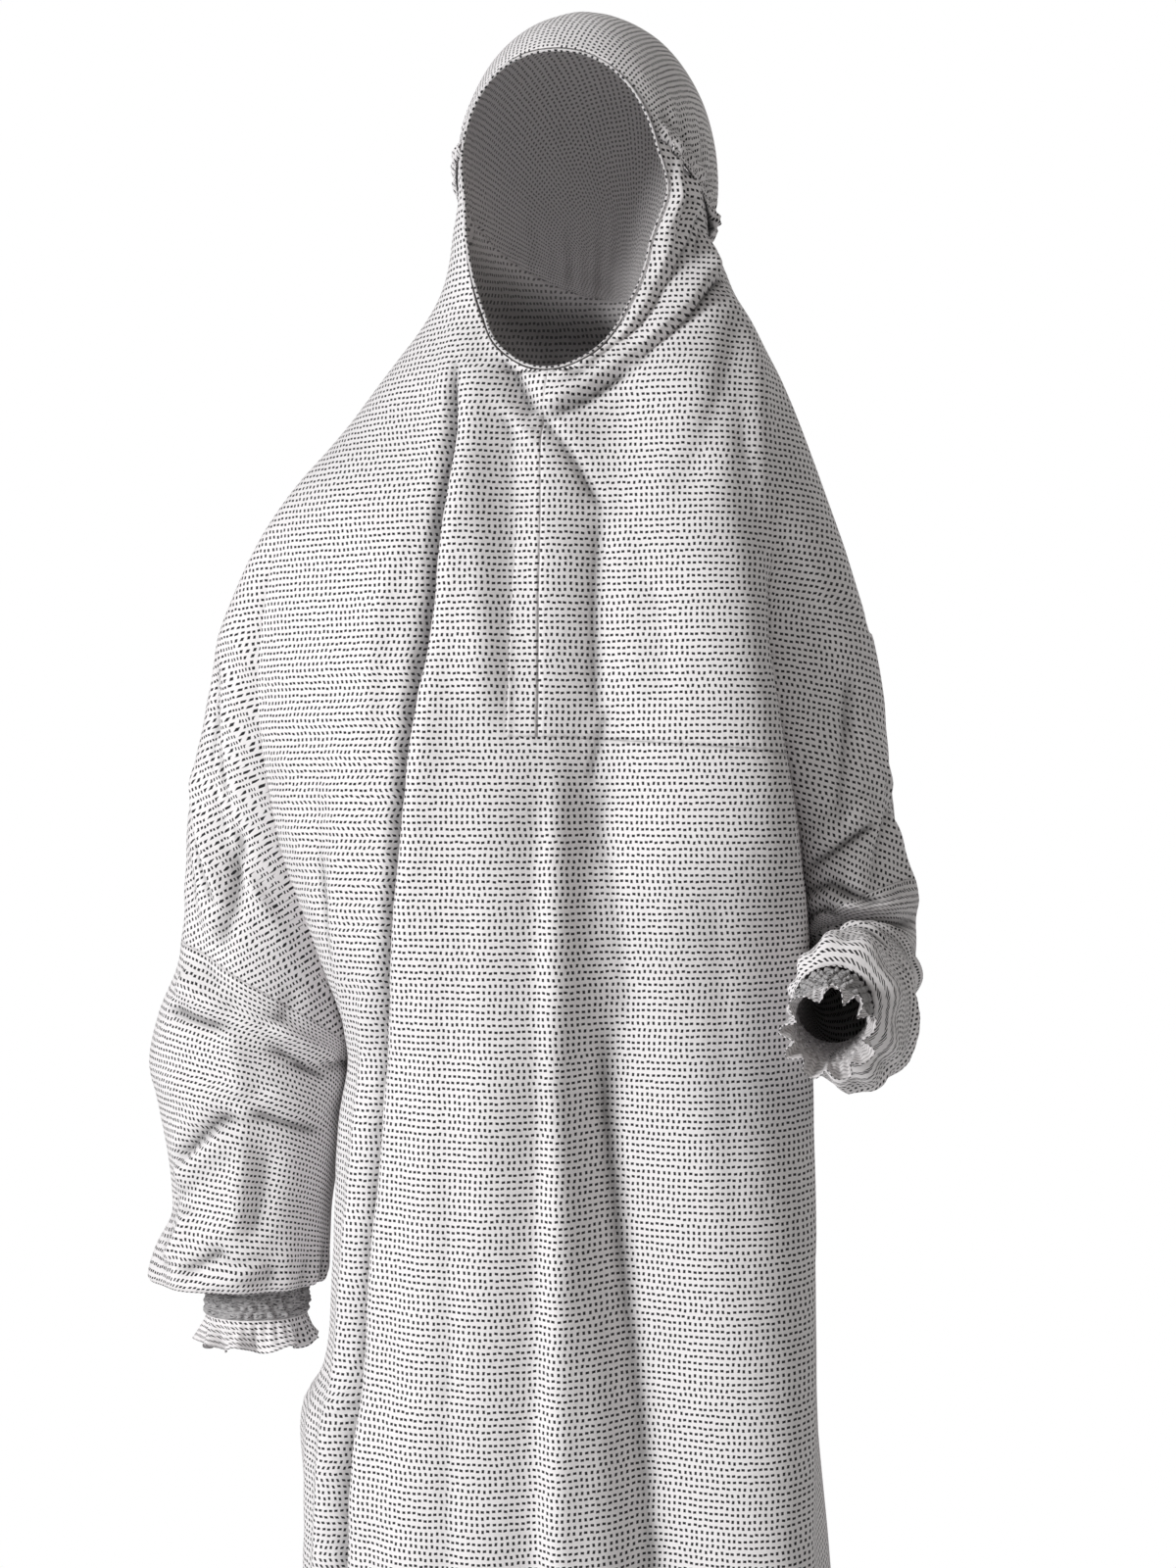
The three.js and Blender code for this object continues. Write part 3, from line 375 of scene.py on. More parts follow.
def bodyPoint(side, a, z, face):
    # a runs from 0 on the centre line to 1 at the valley beside the wing
    angle = a * reachAngle(z)
    hood = hoodPoint(side, angle if face == "front" else 180 - angle, z)
    edge = bodyEdge[side]
    out, behind = arcShares(a, np.radians(along(edge, "z", "turnIn", z)))
    x = mix(along(bodyLine, "z", "centre", z), along(edge, "z", face + "X", z), out)
    y = mix(along(bodyLine, "z", face, z), along(edge, "z", face + "Y", z), behind)
    body = np.stack([x, y, z + 0 * x], axis=-1)
    share = bodyShare(z)
    point = hood + (body - hood) * share[..., None]
    folds, creases = (frontFolds, frontCreases) if face == "front" else (backFolds, backCreases)
    return pushed(point, foldHeight(folds, creases, point[..., 0], z) * (1 - share * a**6))


def armSpread(share):
    # even shares drawn to both ends by a power of 1.35; armShare turns them back
    near = 0.5 * (2 * np.minimum(share, 1 - share)) ** 1.35
    return np.where(share < 0.5, near, 1 - near)


def armShare(t):
    near = 0.5 * (2 * np.clip(np.minimum(t, 1 - t), 0, 1)) ** (1 / 1.35)
    return np.where(t < 0.5, near, 1 - near)


def armRing(side, angle, level, grow=0.0):
    # an ellipse about the arm's line at that level, leant by the tilt
    read = lambda column: along(armRings[side], "level", column, level)
    tilt = np.radians(read("tilt"))
    outward = np.cos(angle) * (read("across") + grow)
    forward = np.sin(angle) * (read("depth") + grow)
    x = read("x") + signs[side] * outward
    return np.stack([x, read("y") - forward * np.cos(tilt), read("z") + forward * np.sin(tilt)], axis=-1)


def armPoint(side, t, level):
    # rings round the arm, drawn to the body's valleys above the underarm
    opened = np.radians(along(armRings[side], "level", "open", level))
    gather = ease(cuffTop[side] + pleats["reach"], cuffTop[side] + 6, level)
    wave = np.cos(2 * math.pi * pleats["count"] * armShare(t) + 1.1 * np.sin(9 * t)) * pleats["depth"] * gather
    crumple = armDepth * creaseHeight(armCreases[side], t * girth, level) + unevenness(t * girth, level, 0.8)
    crumple = crumple * np.sin(math.pi * np.clip(t, 0, 1)) ** 0.5
    fade = 1 - ease(cuffTop[side] + 22, cuffTop[side], level)
    point = armRing(side, mix(opened, -opened, t), level, (wave + crumple) * fade)
    edge = bodyEdge[side]
    read = lambda column: along(edge, "z", column, level)
    front = np.stack([read("frontX"), read("frontY"), level + 0 * t], axis=-1) - armRing(side, opened, level)
    behind = np.stack([read("backX"), read("backY"), level + 0 * t], axis=-1) - armRing(side, -opened, level)
    drawn = point + front * (1 - ease(0, 0.42, t))[..., None] + behind * ease(0.58, 1, t)[..., None]
    reach = reachAngle(level)
    hood = hoodPoint(side, mix(reach, 180 - reach, t), level)
    share = bodyShare(level)
    drawn = hood + (drawn - hood) * share[..., None]
    x = drawn[..., 0]
    onFront = foldHeight(frontFolds, frontCreases, x, level)
    onBack = foldHeight(backFolds, backCreases, x, level)
    height = np.where(t < 0.5, onFront, onBack)
    drawn = pushed(drawn, height * (1 - share) * np.abs(2 * t - 1))
    return np.where((level < underarm[side])[..., None], point, drawn)


# how the panels are cut: v runs down a panel, u across it

chinRow = 0.26
seamRow = {"right": 0.72, "left": 0.8}
cut = {"chestSide": -222, "centreUnderarm": -690, "slope": 1.4, "inset": 2.0, "panelWidth": 110}
rowCounts = {"face": 7, "chest": 7, "wing": 4}


def sideLevel(side, v):
    # heights beside the wing, in three straight runs
    top, row = crownEdge(75) - seamGap, seamRow[side]
    upper = mix(top, cut["chestSide"], v / chinRow)
    middle = mix(cut["chestSide"], levels["seamSide"], (v - chinRow) / (row - chinRow))
    lower = mix(levels["seamSide"], underarm[side] + seamGap, (v - row) / (1 - row))
    return np.where(v < chinRow, upper, np.where(v < row, middle, lower))


def centreLevel(side, v):
    # heights at the centre: a sine down the face edge, then two straight runs
    row, straight = seamRow[side], 0.16
    first = mix(levels["temple"] - seamGap, face["middle"], v / chinRow / straight)
    share = np.clip((v / chinRow - straight) / (1 - straight), 0, 1)
    second = face["middle"] - face["down"] * np.sin(share * math.pi / 2)
    third = mix(levels["chin"], levels["seamCentre"], (v - chinRow) / (row - chinRow))
    fourth = mix(levels["seamCentre"], cut["centreUnderarm"], (v - row) / (1 - row))
    upper = np.where(v < chinRow * straight, first, second)
    return np.where(v < chinRow, upper, np.where(v < row, third, fourth))


def upperFront(side, u, v, centreGap=0.0):
    # from the face edge to the valley; heights slope by a power of u and bow under the crown
    z = centreLevel(side, v)
    start = np.where(v < chinRow, faceAngle(side, z) / reachAngle(z), 0)
    beside = np.clip(start / 0.78, 0, 1)
    below = np.sqrt(1 - beside**2) * (1 - ease(chinRow, chinRow + 0.04, v))
    a = mix(start + (cut["inset"] * beside + centreGap) / cut["panelWidth"], 1, u)
    level = mix(z - cut["inset"] * below, sideLevel(side, v), u ** cut["slope"])
    straightTop = mix(levels["temple"], crownEdge(75), u ** cut["slope"])
    bow = (crownEdge(a * 75) - straightTop) * (1 - ease(0, chinRow, v))
    return bodyPoint(side, a, level + bow, "front")


def sideTrim(side, z):
    # a hair off the left edge above -650, so that it clears the wing
    return 1 - 0.003 * ease(-720, -650, z) if side == "left" else 1 + 0 * z


def lowerFront(side, u, v):
    # straight runs from the slanting top edge to the hem
    top = mix(cut["centreUnderarm"], underarm[side] + seamGap, u ** cut["slope"])
    z = mix(top, levels["hem"], v)
    return bodyPoint(side, u * sideTrim(side, z), z, "front")


def middleLeft(side, u, v):  # below the cross seam, beside the left wing
    level = mix(centreLevel(side, v), sideLevel(side, v), u ** cut["slope"])
    return bodyPoint(side, u * sideTrim(side, level), level, "front")


def wingShare(side, v):
    # the share of the wing's height that v has come down
    first, last = sideLevel(side, np.float64(0)), sideLevel(side, np.float64(1))
    return (sideLevel(side, v) - first) / (last - first)


def armholeLevel(side, t):
    # highest over the arm, falling to the underarm by a power of 2.4
    return mix(sleeveSeam[side], underarm[side], np.abs(2 * t - 1) ** 2.4)


def wingPoint(side, u, v, half=0):
    # half 0 is the wing's front, half 1 its back, from the crown's edge to the armhole
    gap = 0.001
    t = mix(0 if half == 0 else gap, -gap if half == 0 else 0, u) + armSpread((u + half) / 2)
    top = crownEdge(mix(75, 105, t)) - seamGap
    return armPoint(side, t, mix(top, armholeLevel(side, t) + seamGap, wingShare(side, v)))


def rowShare(side, v):
    # even rows, by their counts in each stretch of v
    faceRows, chest, wing = rowCounts.values()
    row, total = seamRow[side], sum(rowCounts.values())
    upper = v / chinRow * faceRows
    middle = faceRows + chest * (v - chinRow) / (row - chinRow)
    lower = faceRows + chest + wing * (v - row) / (1 - row)
    return np.where(v < chinRow, upper, np.where(v < row, middle, lower)) / total


def backBottom(side, b):
    # from the underarm down to the centre, by one less a power
    return mix(underarm[side] + seamGap, cut["centreUnderarm"], 1 - (1 - b) ** cut["slope"])


def upperBack(side, b, v):
    # from the crown's edge to the bottom; rows go over from the wing's to the centre's
    top = crownEdge(180 - (1 - b) * 75) - seamGap
    share = mix(wingShare(side, v), rowShare(side, v), b)
    return bodyPoint(side, 1 - b, mix(top, backBottom(side, b), share), "back")


def lowerBack(side, b, v):
    # straight runs to the hem
    return bodyPoint(side, 1 - b, mix(backBottom(side, b), levels["hem"], v), "back")


# cloth meshes: grids with a chart of the print in millimetres, welded where they meet

def outwardNormals(points, side):  # crossed differences of the grid's rows and columns
    across, down = np.gradient(points, axis=1), np.gradient(points, axis=0)
    normal = np.cross(down, across) * signs[side]
    return normal / np.maximum(np.linalg.norm(normal, axis=-1, keepdims=True), 1e-9)


# how the painted shade in narrow folds is measured
foldShadeRule = {"open": 0.35, "deep": 1.6, "narrow": 5, "beside": 0.5}


# painted shade: this depth darkens the cloth's colour in narrow folds, where shade falls
def foldShadeDepth(points, side):
    # 0 on open cloth, near 1 in narrow folds: how far a point lies under the mean of its neighbours
    # two steps away, less where they are far apart; the columns beside a fold take half of it
    edged = np.pad(points, ((2, 2), (2, 2), (0, 0)), mode="reflect", reflect_type="odd")
    normal = outwardNormals(points, side)
    under = 0.0
    for before, after in ((edged[2:-2, :-4], edged[2:-2, 4:]), (edged[:-4, 2:-2], edged[4:, 2:-2])):
        reach = np.linalg.norm(after - before, axis=-1) / 2
        narrow = np.minimum(1, foldShadeRule["narrow"] / np.maximum(reach, 0.1)) ** 2
        under = np.maximum(under, (((before + after) / 2 - points) * normal).sum(axis=-1) * narrow)
    depth = 1 - np.exp(-np.maximum(under - foldShadeRule["open"], 0) / foldShadeRule["deep"])
    beside = np.pad(depth, ((0, 0), (1, 1)))
    return np.maximum(depth, foldShadeRule["beside"] * np.maximum(beside[:, :-2], beside[:, 2:]))


# turning: how much of the front-to-back run the front's print counts; tilt: how its rows fall on the wings
chartRule = {"turning": 0.4, "tilt": 20, "offSeam": 60.0}


def patch(side, columns, rows, pointAt, start=0.0, countFrom="first", seams="", tilt=0.0, lengthDown=None):
    # across counts the cloth's width along a row, so the print keeps its scale over folds;
    # seams names the edges that are sewn, and nearness to them goes into the mesh
    u, v = np.meshgrid(columns, rows)
    points = pointAt(side, u, v)
    turning = chartRule["turning"] if countFrom == "first" else 1.0
    stepAcross = np.hypot(np.diff(points[..., 0], axis=1), turning * np.diff(points[..., 1], axis=1))
    if lengthDown is not None:
        stepAcross = np.linalg.norm(np.diff(points, axis=1), axis=2)
    across = np.concatenate([np.zeros((len(rows), 1)), np.cumsum(stepAcross, axis=1)], axis=1)
    stepDown = np.linalg.norm(np.diff(points, axis=0), axis=2)
    down = np.concatenate([np.zeros((1, len(columns))), np.cumsum(stepDown, axis=0)], axis=0)
    distances = {"first": across, "last": across[:, -1:] - across, "top": down, "bottom": down[-1:] - down}
    nearSeam = np.full(u.shape, chartRule["offSeam"])
    for name in seams.split():
        nearSeam = np.minimum(nearSeam, distances[name])
    counted = across if countFrom == "first" else distances["last"]
    level = points[..., 2] if lengthDown is None else -v * lengthDown
    if tilt:
        level = level + counted * math.tan(math.radians(tilt)) * ease(-260, -620, level)
    chart = np.stack([signs[side] * (np.reshape(start, (-1, 1)) + counted), level], axis=-1)
    return {"side": side, "points": points, "chart": chart, "nearSeam": nearSeam,
            "foldShade": foldShadeDepth(points, side), "end": counted[:, -1]}


def clothObject(name, patches, thickness, outer=None, lining=None):
    # the grids' squares become faces that point outward, and points that meet become one
    points, charts, near, deep, faces, offset = [], [], [], [], [], 0
    for part in patches:
        count = part["points"].shape[:2]
        index = np.arange(count[0] * count[1]).reshape(count) + offset
        a, b, c, d = index[:-1, :-1], index[1:, :-1], index[1:, 1:], index[:-1, 1:]
        corners = (a, b, c, d) if part["side"] == "left" else (a, d, c, b)
        faces.append(np.stack(corners, axis=-1).reshape(-1, 4))
        points.append(part["points"].reshape(-1, 3))
        charts.append(part["chart"].reshape(-1, 2))
        near.append(part["nearSeam"].reshape(-1))
        deep.append(part.get("foldShade", 0 * part["nearSeam"]).reshape(-1))
        offset += count[0] * count[1]
    points, charts, near, deep, faces = map(np.concatenate, (points, charts, near, deep, faces))
    rounded = np.round(points * 40).astype(np.int64)
    _, first, welded = np.unique(rounded, axis=0, return_index=True, return_inverse=True)
    mesh = bpy.data.meshes.new(name)
    mesh.from_pydata(points[first] * 0.001, [], welded.reshape(-1)[faces].tolist())
    uv = mesh.uv_layers.new(name="print")
    uv.data.foreach_set("uv", (charts[faces.reshape(-1)] * 0.001).astype(np.float32).reshape(-1))
    # the second attribute is painted shade for narrow folds, read by the cloth's colour
    for label, values in (("nearSeam", near), ("foldShade", deep)):
        noted = mesh.attributes.new(label, "FLOAT", "POINT")
        noted.data.foreach_set("value", values[first].astype(np.float32))
    mesh.polygons.foreach_set("use_smooth", np.ones(len(faces), bool))
    mesh.materials.append(outer or viscose)
    mesh.materials.append(lining or reverse)
    mesh.update()
    cloth = bpy.data.objects.new(name, mesh)
    scene.collection.objects.link(cloth)
    wall = cloth.modifiers.new("clothThickness", "SOLIDIFY")
    for key, value in {"thickness": thickness * 0.001, "offset": 0, "use_rim": True,
                       "material_offset": 1, "material_offset_rim": 0}.items():
        setattr(wall, key, value)
    return cloth


def declare(cloth, nodeName, flat, restsOn):
    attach(cloth, "root")
    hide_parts(nodeName)


# the printed viscose

printing = {
    "pitchAcross": 3.5, "pitchDown": 4.15, "length": 2.1, "width": 1.6, "wander": 0.16, "gatheredWander": 0.9,
    "ground": (0.80, 0.775, 0.785), "ink": (0.018, 0.017, 0.02),
    "reverseGround": (0.70, 0.675, 0.68), "reverseInk": 0.72,
    # the smocked ground is the cloth's ground darkened: painted shade of the gathers
    "smockedGroundWithShade": (0.42, 0.41, 0.415), "hemGround": (0.62, 0.60, 0.605),
}


def build(tree, kind, settings=None, **inputs):
    node = tree.nodes.new(kind)
    for key, value in (settings or {}).items():
        setattr(node, key, value)
    for key, value in inputs.items():
        socket = node.inputs[int(key[1:])] if key[0] == "_" else node.inputs[key]
        if isinstance(value, bpy.types.NodeSocket):
            tree.links.new(value, socket)
        else:
            socket.default_value = value
    return node


def mathsOf(tree):  # functions that add one maths node to the tree and give its result
    def sums(operation, *values):
        inputs = {f"_{i}": value for i, value in enumerate(values)}
        return build(tree, "ShaderNodeMath", {"operation": operation}, **inputs).outputs[0]
    named = ("ADD", "SUBTRACT", "MULTIPLY", "DIVIDE", "MULTIPLY_ADD")
    return sums, *(lambda *values, operation=operation: sums(operation, *values) for operation in named)


def newGroup(name, inputs, outputs):
    tree = bpy.data.node_groups.new(name, "ShaderNodeTree")
    for label, kind, value in inputs:
        socket = tree.interface.new_socket(name=label, in_out="INPUT", socket_type=kind)
        if value is not None:
            socket.default_value = value
    for label, kind in outputs:
        tree.interface.new_socket(name=label, in_out="OUTPUT", socket_type=kind)
    return tree, tree.nodes.new("NodeGroupInput").outputs, tree.nodes.new("NodeGroupOutput").inputs


chequer = {"columns": 9.0, "rows": 12.0, "levelRows": 7.0}  # dashes to a block, and how many rows lie level


def dashPrintGroup():
    # short dashes in rows; blocks of level and upright dashes alternate like a chequerboard
    value = "NodeSocketFloat"
    tree, given, result = newGroup("dashPrint", [
        ("Chart", "NodeSocketVector", None), ("Pitch Across", value, 3.5), ("Pitch Down", value, 4.1),
        ("Length", value, 2.0), ("Width", value, 1.0), ("Wander", value, 0.15),
    ], [("Ink", value)])
    sums, plus, minus, times, parts, timesPlus = mathsOf(tree)
    split = build(tree, "ShaderNodeSeparateXYZ", None, Vector=given["Chart"])
    rows = parts(split.outputs[1], given["Pitch Down"])
    row = sums("FLOOR", rows)
    rowNoise = build(tree, "ShaderNodeTexWhiteNoise", {"noise_dimensions": "1D"}, W=row)
    ofRow = build(tree, "ShaderNodeSeparateColor", None, Color=rowNoise.outputs["Color"]).outputs
    slip = timesPlus(ofRow[0], 0.5, -0.25)
    columns = plus(parts(split.outputs[0], given["Pitch Across"]), slip)
    column = sums("FLOOR", columns)
    cell = build(tree, "ShaderNodeCombineXYZ", None, X=column, Y=row)
    cellNoise = build(tree, "ShaderNodeTexWhiteNoise", {"noise_dimensions": "2D"}, Vector=cell.outputs[0])
    ofCell = build(tree, "ShaderNodeSeparateColor", None, Color=cellNoise.outputs["Color"]).outputs
    place = []
    for run, noise, pitch in ((columns, ofCell[0], "Pitch Across"), (rows, ofCell[1], "Pitch Down")):
        drift = times(minus(noise, 0.5), given["Wander"])
        middle = minus(sums("FRACT", run), 0.5)
        place.append(times(plus(middle, drift), given[pitch]))
    jog = sums("ROUND", timesPlus(ofRow[1], 2.6, -1.3))
    block = sums("FLOOR", parts(plus(column, jog), chequer["columns"]))
    odd = sums("FLOORED_MODULO", block, 2.0)
    band = sums("LESS_THAN", sums("FLOORED_MODULO", row, chequer["rows"]), chequer["levelRows"])
    upright = sums("ABSOLUTE", minus(band, odd))
    gap = minus(place[1], place[0])
    lengthwise = timesPlus(gap, upright, place[0])
    crosswise = minus(plus(place[0], place[1]), lengthwise)
    lean = times(minus(ofCell[2], 0.5), 0.35)
    crosswise = timesPlus(lengthwise, lean, crosswise)
    half = times(minus(given["Length"], given["Width"]), 0.5)
    beyond = minus(sums("ABSOLUTE", lengthwise), half)
    far = sums("MAXIMUM", beyond, sums("ABSOLUTE", crosswise))
    inside = minus(far, times(given["Width"], 0.5))
    soft = build(tree, "ShaderNodeMapRange", None, Value=inside)
    for key, number in (("From Min", 0.14), ("From Max", -0.12)):
        soft.inputs[key].default_value = number
    tree.links.new(soft.outputs["Result"], result["Ink"])
    return tree


def weaveGroup():
    # fine over-and-under threads and longer crinkles that lie in the cloth, and a tone that holds painted shade by
    # seams and in narrow folds
    value = "NodeSocketFloat"
    tree, given, result = newGroup("wovenCloth", [
        ("Chart", "NodeSocketVector", None), ("Place", "NodeSocketVector", None),
        ("Near Seam", value, 60.0), ("Fold Shade", value, 0.0),
        ("Thread", value, 0.4), ("Crinkle", value, 1.0), ("Pucker", value, 1.0),
    ], [("Height", value), ("Tone And Shade", value)])
    sums, _, minus, times, parts, timesPlus = mathsOf(tree)
    split = build(tree, "ShaderNodeSeparateXYZ", None, Vector=given["Chart"])
    waves = []
    for out in (split.outputs[0], split.outputs[1]):
        phase = times(parts(out, given["Thread"]), 2 * math.pi)
        waves.append(sums("SINE", phase))
    threads = times(waves[0], waves[1])
    noise = lambda **shape: build(
        tree, "ShaderNodeTexNoise", {"noise_dimensions": "3D"}, Vector=given["Place"], **shape).outputs[0]
    crinkle = noise(Scale=38.0, Detail=3.0, Roughness=0.55, Distortion=0.6)
    fine = noise(Scale=150.0, Detail=2.0, Roughness=0.5)
    pinches = noise(Scale=210.0, Detail=1.0)
    nearness = sums("EXPONENT", times(given["Near Seam"], -0.22))
    pucker = times(times(nearness, given["Pucker"]), minus(pinches, 0.2))
    total = times(timesPlus(fine, 0.22, crinkle), given["Crinkle"])
    total = timesPlus(threads, 0.012, total)
    total = timesPlus(pucker, 1.5, total)
    tree.links.new(total, result["Height"])
    # painted shade: the ground is darkened by up to 18% close to a seam, for the shade in its groove
    seamShade = sums("EXPONENT", times(given["Near Seam"], -1.3))
    patchy = timesPlus(minus(crinkle, 0.5), -0.10, 1.0)
    tone = times(patchy, timesPlus(seamShade, -0.18, 1.0))
    # painted shade: the ground is darkened by up to 93% in narrow folds
    tone = times(tone, timesPlus(given["Fold Shade"], -0.93, 1.0))
    tree.links.new(tone, result["Tone And Shade"])
    return tree


dashPrint = dashPrintGroup()
wovenCloth = weaveGroup()


clothFinish = {"Roughness": 0.82, "Specular IOR Level": 0.3, "Sheen Weight": 0.05, "Sheen Roughness": 0.5}


def printedCloth(name, ground, ink, crinkle=1.0, pucker=1.0, depth=0.0016, gathered=1.0):
    material = bpy.data.materials.new(name)
    material.use_nodes = True
    tree = material.node_tree
    shader = tree.nodes["Principled BSDF"]
    for socket, value in clothFinish.items():
        shader.inputs[socket].default_value = value
    chart = build(tree, "ShaderNodeUVMap", {"uv_map": "print"})
    inMillimetres = build(tree, "ShaderNodeVectorMath", {"operation": "SCALE"}, _0=chart.outputs[0], Scale=1000.0)
    place = build(tree, "ShaderNodeTexCoord")
    near = build(tree, "ShaderNodeAttribute", {"attribute_name": "nearSeam"})
    dashes = build(tree, "ShaderNodeGroup", {"node_tree": dashPrint}, **{
        "Chart": inMillimetres.outputs[0], "Pitch Across": printing["pitchAcross"] * gathered,
        "Pitch Down": printing["pitchDown"], "Length": printing["length"] * gathered, "Width": printing["width"],
        "Wander": printing["gatheredWander" if gathered < 1 else "wander"]})
    weave = build(tree, "ShaderNodeGroup", {"node_tree": wovenCloth}, **{
        "Chart": inMillimetres.outputs[0], "Place": place.outputs["Object"], "Near Seam": near.outputs["Fac"],
        "Crinkle": crinkle, "Pucker": pucker})
    # painted shade: the fold-shade attribute darkens the ground in narrow folds
    if pucker:  # the reverse has its hollows the other way round
        deep = build(tree, "ShaderNodeAttribute", {"attribute_name": "foldShade"})
        tree.links.new(deep.outputs["Fac"], weave.inputs["Fold Shade"])
    # the ground times the tone, which holds the painted shade by seams and in folds
    toned = build(tree, "ShaderNodeMix", {"data_type": "RGBA", "blend_type": "MULTIPLY"},
                  Factor=1.0, _6=(*ground, 1))
    tone = weave.outputs["Tone And Shade"]
    toneColour = build(tree, "ShaderNodeCombineColor", None, Red=tone, Green=tone, Blue=tone)
    tree.links.new(toneColour.outputs[0], toned.inputs[7])
    strength = build(tree, "ShaderNodeMath", {"operation": "MULTIPLY"}, _0=dashes.outputs["Ink"], _1=ink)
    printed = build(tree, "ShaderNodeMix", {"data_type": "RGBA"},
                    Factor=strength.outputs[0], _6=toned.outputs[2], _7=(*printing["ink"], 1))
    tree.links.new(printed.outputs[2], shader.inputs["Base Color"])
    bump = build(tree, "ShaderNodeBump", None, Height=weave.outputs["Height"], Distance=depth, Strength=0.7)
    tree.links.new(bump.outputs[0], shader.inputs["Normal"])
    return material


viscose = printedCloth("printedViscose", printing["ground"], 1.0)
reverse = printedCloth("viscoseReverse", printing["reverseGround"], printing["reverseInk"], pucker=0.0)
# the cuff's cloth, with painted shade of its gathers in its darker ground
smocked = printedCloth("smockedViscose", printing["smockedGroundWithShade"], 1.0,
                       crinkle=4.5, pucker=0.3, depth=0.0028, gathered=0.62)
rolled = printedCloth("turnedHem", printing["hemGround"], 1.0, crinkle=0.4, pucker=0.0)
print("materials made")


# front, wings and back

panels = {"frontColumns": 74, "wingColumns": 46, "backColumns": 58, "skirtRows": 104,
          "backSkirtRows": 112, "thickness": 0.8}

frontColumns = spaced(0, 1, panels["frontColumns"])
wingColumns = spaced(0, 1, panels["wingColumns"])
backColumns = spaced(0, 1, panels["backColumns"])
skirtRows = spaced(0, 1, panels["skirtRows"])
upperRows, backRows = {}, {}
for side in signs:
    row = seamRow[side]
    upperRows[side] = joined(spaced(0, chinRow, 52), spaced(chinRow, row, 60), spaced(row, 1, 40))
    backRows[side] = joined(spaced(0, chinRow, 30), spaced(chinRow, row, 50), spaced(row, 1, 34))


def faceStart(side, rows):  # width of cloth from the centre line to the face edge
    z = centreLevel(side, rows)
    return np.where(rows < chinRow, faceHalf(z) * 1.08, 0)


rightRows = upperRows["right"]
rightStart = faceStart("right", rightRows)
upperRight = patch("right", frontColumns, rightRows, upperFront, start=rightStart, seams="top")
rightWing = patch("right", wingColumns, rightRows, wingPoint, start=upperRight["end"] + rightStart,
                  seams="top last bottom", tilt=chartRule["tilt"])
leftRows, seam = upperRows["left"], seamRow["left"]
belowSeam, aboveSeam = leftRows[leftRows >= seam - 1e-9], leftRows[leftRows <= seam + 1e-9]
middle = patch("left", frontColumns, belowSeam, middleLeft, seams="top")
skirts = [patch(side, frontColumns, skirtRows, lowerFront, seams="last bottom") for side in signs]
frontCloth = clothObject("frontCloth", [upperRight, rightWing, middle, *skirts], panels["thickness"])


def upperLeftPoint(side, u, v):  # ends just above the cross seam
    points = upperFront(side, u, v, 0.05)
    points[..., 2] += seamGap * 2 * ease(seam - 0.05, seam, v) * (1 - u**8)
    return points


leftStart = faceStart("left", aboveSeam)
upperLeft = patch("left", frontColumns, aboveSeam, upperLeftPoint, start=leftStart, seams="top bottom")
leftEnd = np.interp(leftRows, aboveSeam, upperLeft["end"] + leftStart)
leftWing = patch("left", wingColumns, leftRows, wingPoint, start=leftEnd,
                 seams="top last bottom", tilt=chartRule["tilt"])
upperLeftCloth = clothObject("upperLeftCloth", [upperLeft, leftWing], panels["thickness"])

backParts = []
for side in signs:
    upper = patch(side, backColumns, backRows[side], upperBack, countFrom="last", seams="top")
    upperEnd = np.abs(upper["chart"][:, 0, 0])
    wingBack = patch(side, wingColumns, backRows[side], lambda side, u, v: wingPoint(side, u, v, 1),
                     start=upperEnd, countFrom="last", seams="top first bottom", tilt=chartRule["tilt"])
    lower = patch(side, backColumns, spaced(0, 1, panels["backSkirtRows"]), lowerBack,
                  countFrom="last", seams="first bottom")
    backParts += [wingBack, upper, lower]
backCloth = clothObject("backCloth", backParts, panels["thickness"])
print("front and back made")


# placket strip beside the front slit

strip = {"share": 0.062, "start": 0.0015, "columns": 14, "below": 0.075, "thickness": 0.7, "lift": 1.1}

stripRows = rightRows[(rightRows > chinRow + strip["below"]) & (rightRows <= seamRow["right"])]


def stripPoint(side, u, v):
    # the front moved out by the strip's lift, less and puckered at its edges
    points = upperFront(side, u, v)
    edge = np.minimum(ease(0.0, 0.006, u), ease(strip["share"], strip["share"] - 0.007, u))
    puckers = 0.35 * np.sin(points[..., 2] / 2.6 + 2 * np.sin(points[..., 2] / 17)) * (1 - edge)
    lift = strip["lift"] * (0.3 + 0.4 * ease(-350, -430, points[..., 2]))
    return points + outwardNormals(points, side) * (lift - 0.5 * (1 - edge) + puckers)[..., None]


stripColumns = spaced(strip["start"], strip["share"], strip["columns"])
placketPatch = patch("right", stripColumns, stripRows, stripPoint, seams="first last bottom")
placketCloth = clothObject("placketCloth", [placketPatch], strip["thickness"])
print("placket made")


# crown of the hood, turned hem round the face and tie bands

hood = {"thickness": 0.8, "browShare": 0.4, "browColumns": 44, "rearColumns": 120, "rows": 46,
        "firstRow": 0.012}


def crownDirection(x, y, z):
    # direction from the crown's middle, each axis divided by its radius
    run, radii = (x - crown["x"], y - crown["y"], z - crown["z"]), (crown["across"], crown["along"], crown["up"])
    way = np.stack([a / b for a, b in zip(run, radii)], axis=-1)
    return way / np.linalg.norm(way, axis=-1, keepdims=True)


def browPoint(share, inset):  # the face oval's upper part, laid on the crown
    power = 2 / face["power"]
    end = math.acos(((levels["temple"] - face["middle"]) / (face["up"] + inset)) ** (face["power"] / 2))
    t = end * mix(-1, 1, share)
    x = np.sign(t) * np.abs(np.sin(t)) ** power * (face["halfWidth"] + inset)
    z = face["middle"] + np.cos(t) ** power * (face["up"] + inset)
    narrow = 1 - (x / crown["across"]) ** 2 - ((z - crown["z"]) / crown["up"]) ** 2
    return x + crown["x"], crown["y"] - crown["along"] * np.sqrt(narrow), z


corner = crownDirection(*browPoint(np.float64(1), cut["inset"]))
cornerAngle = math.degrees(math.atan2(corner[0], -corner[1]))


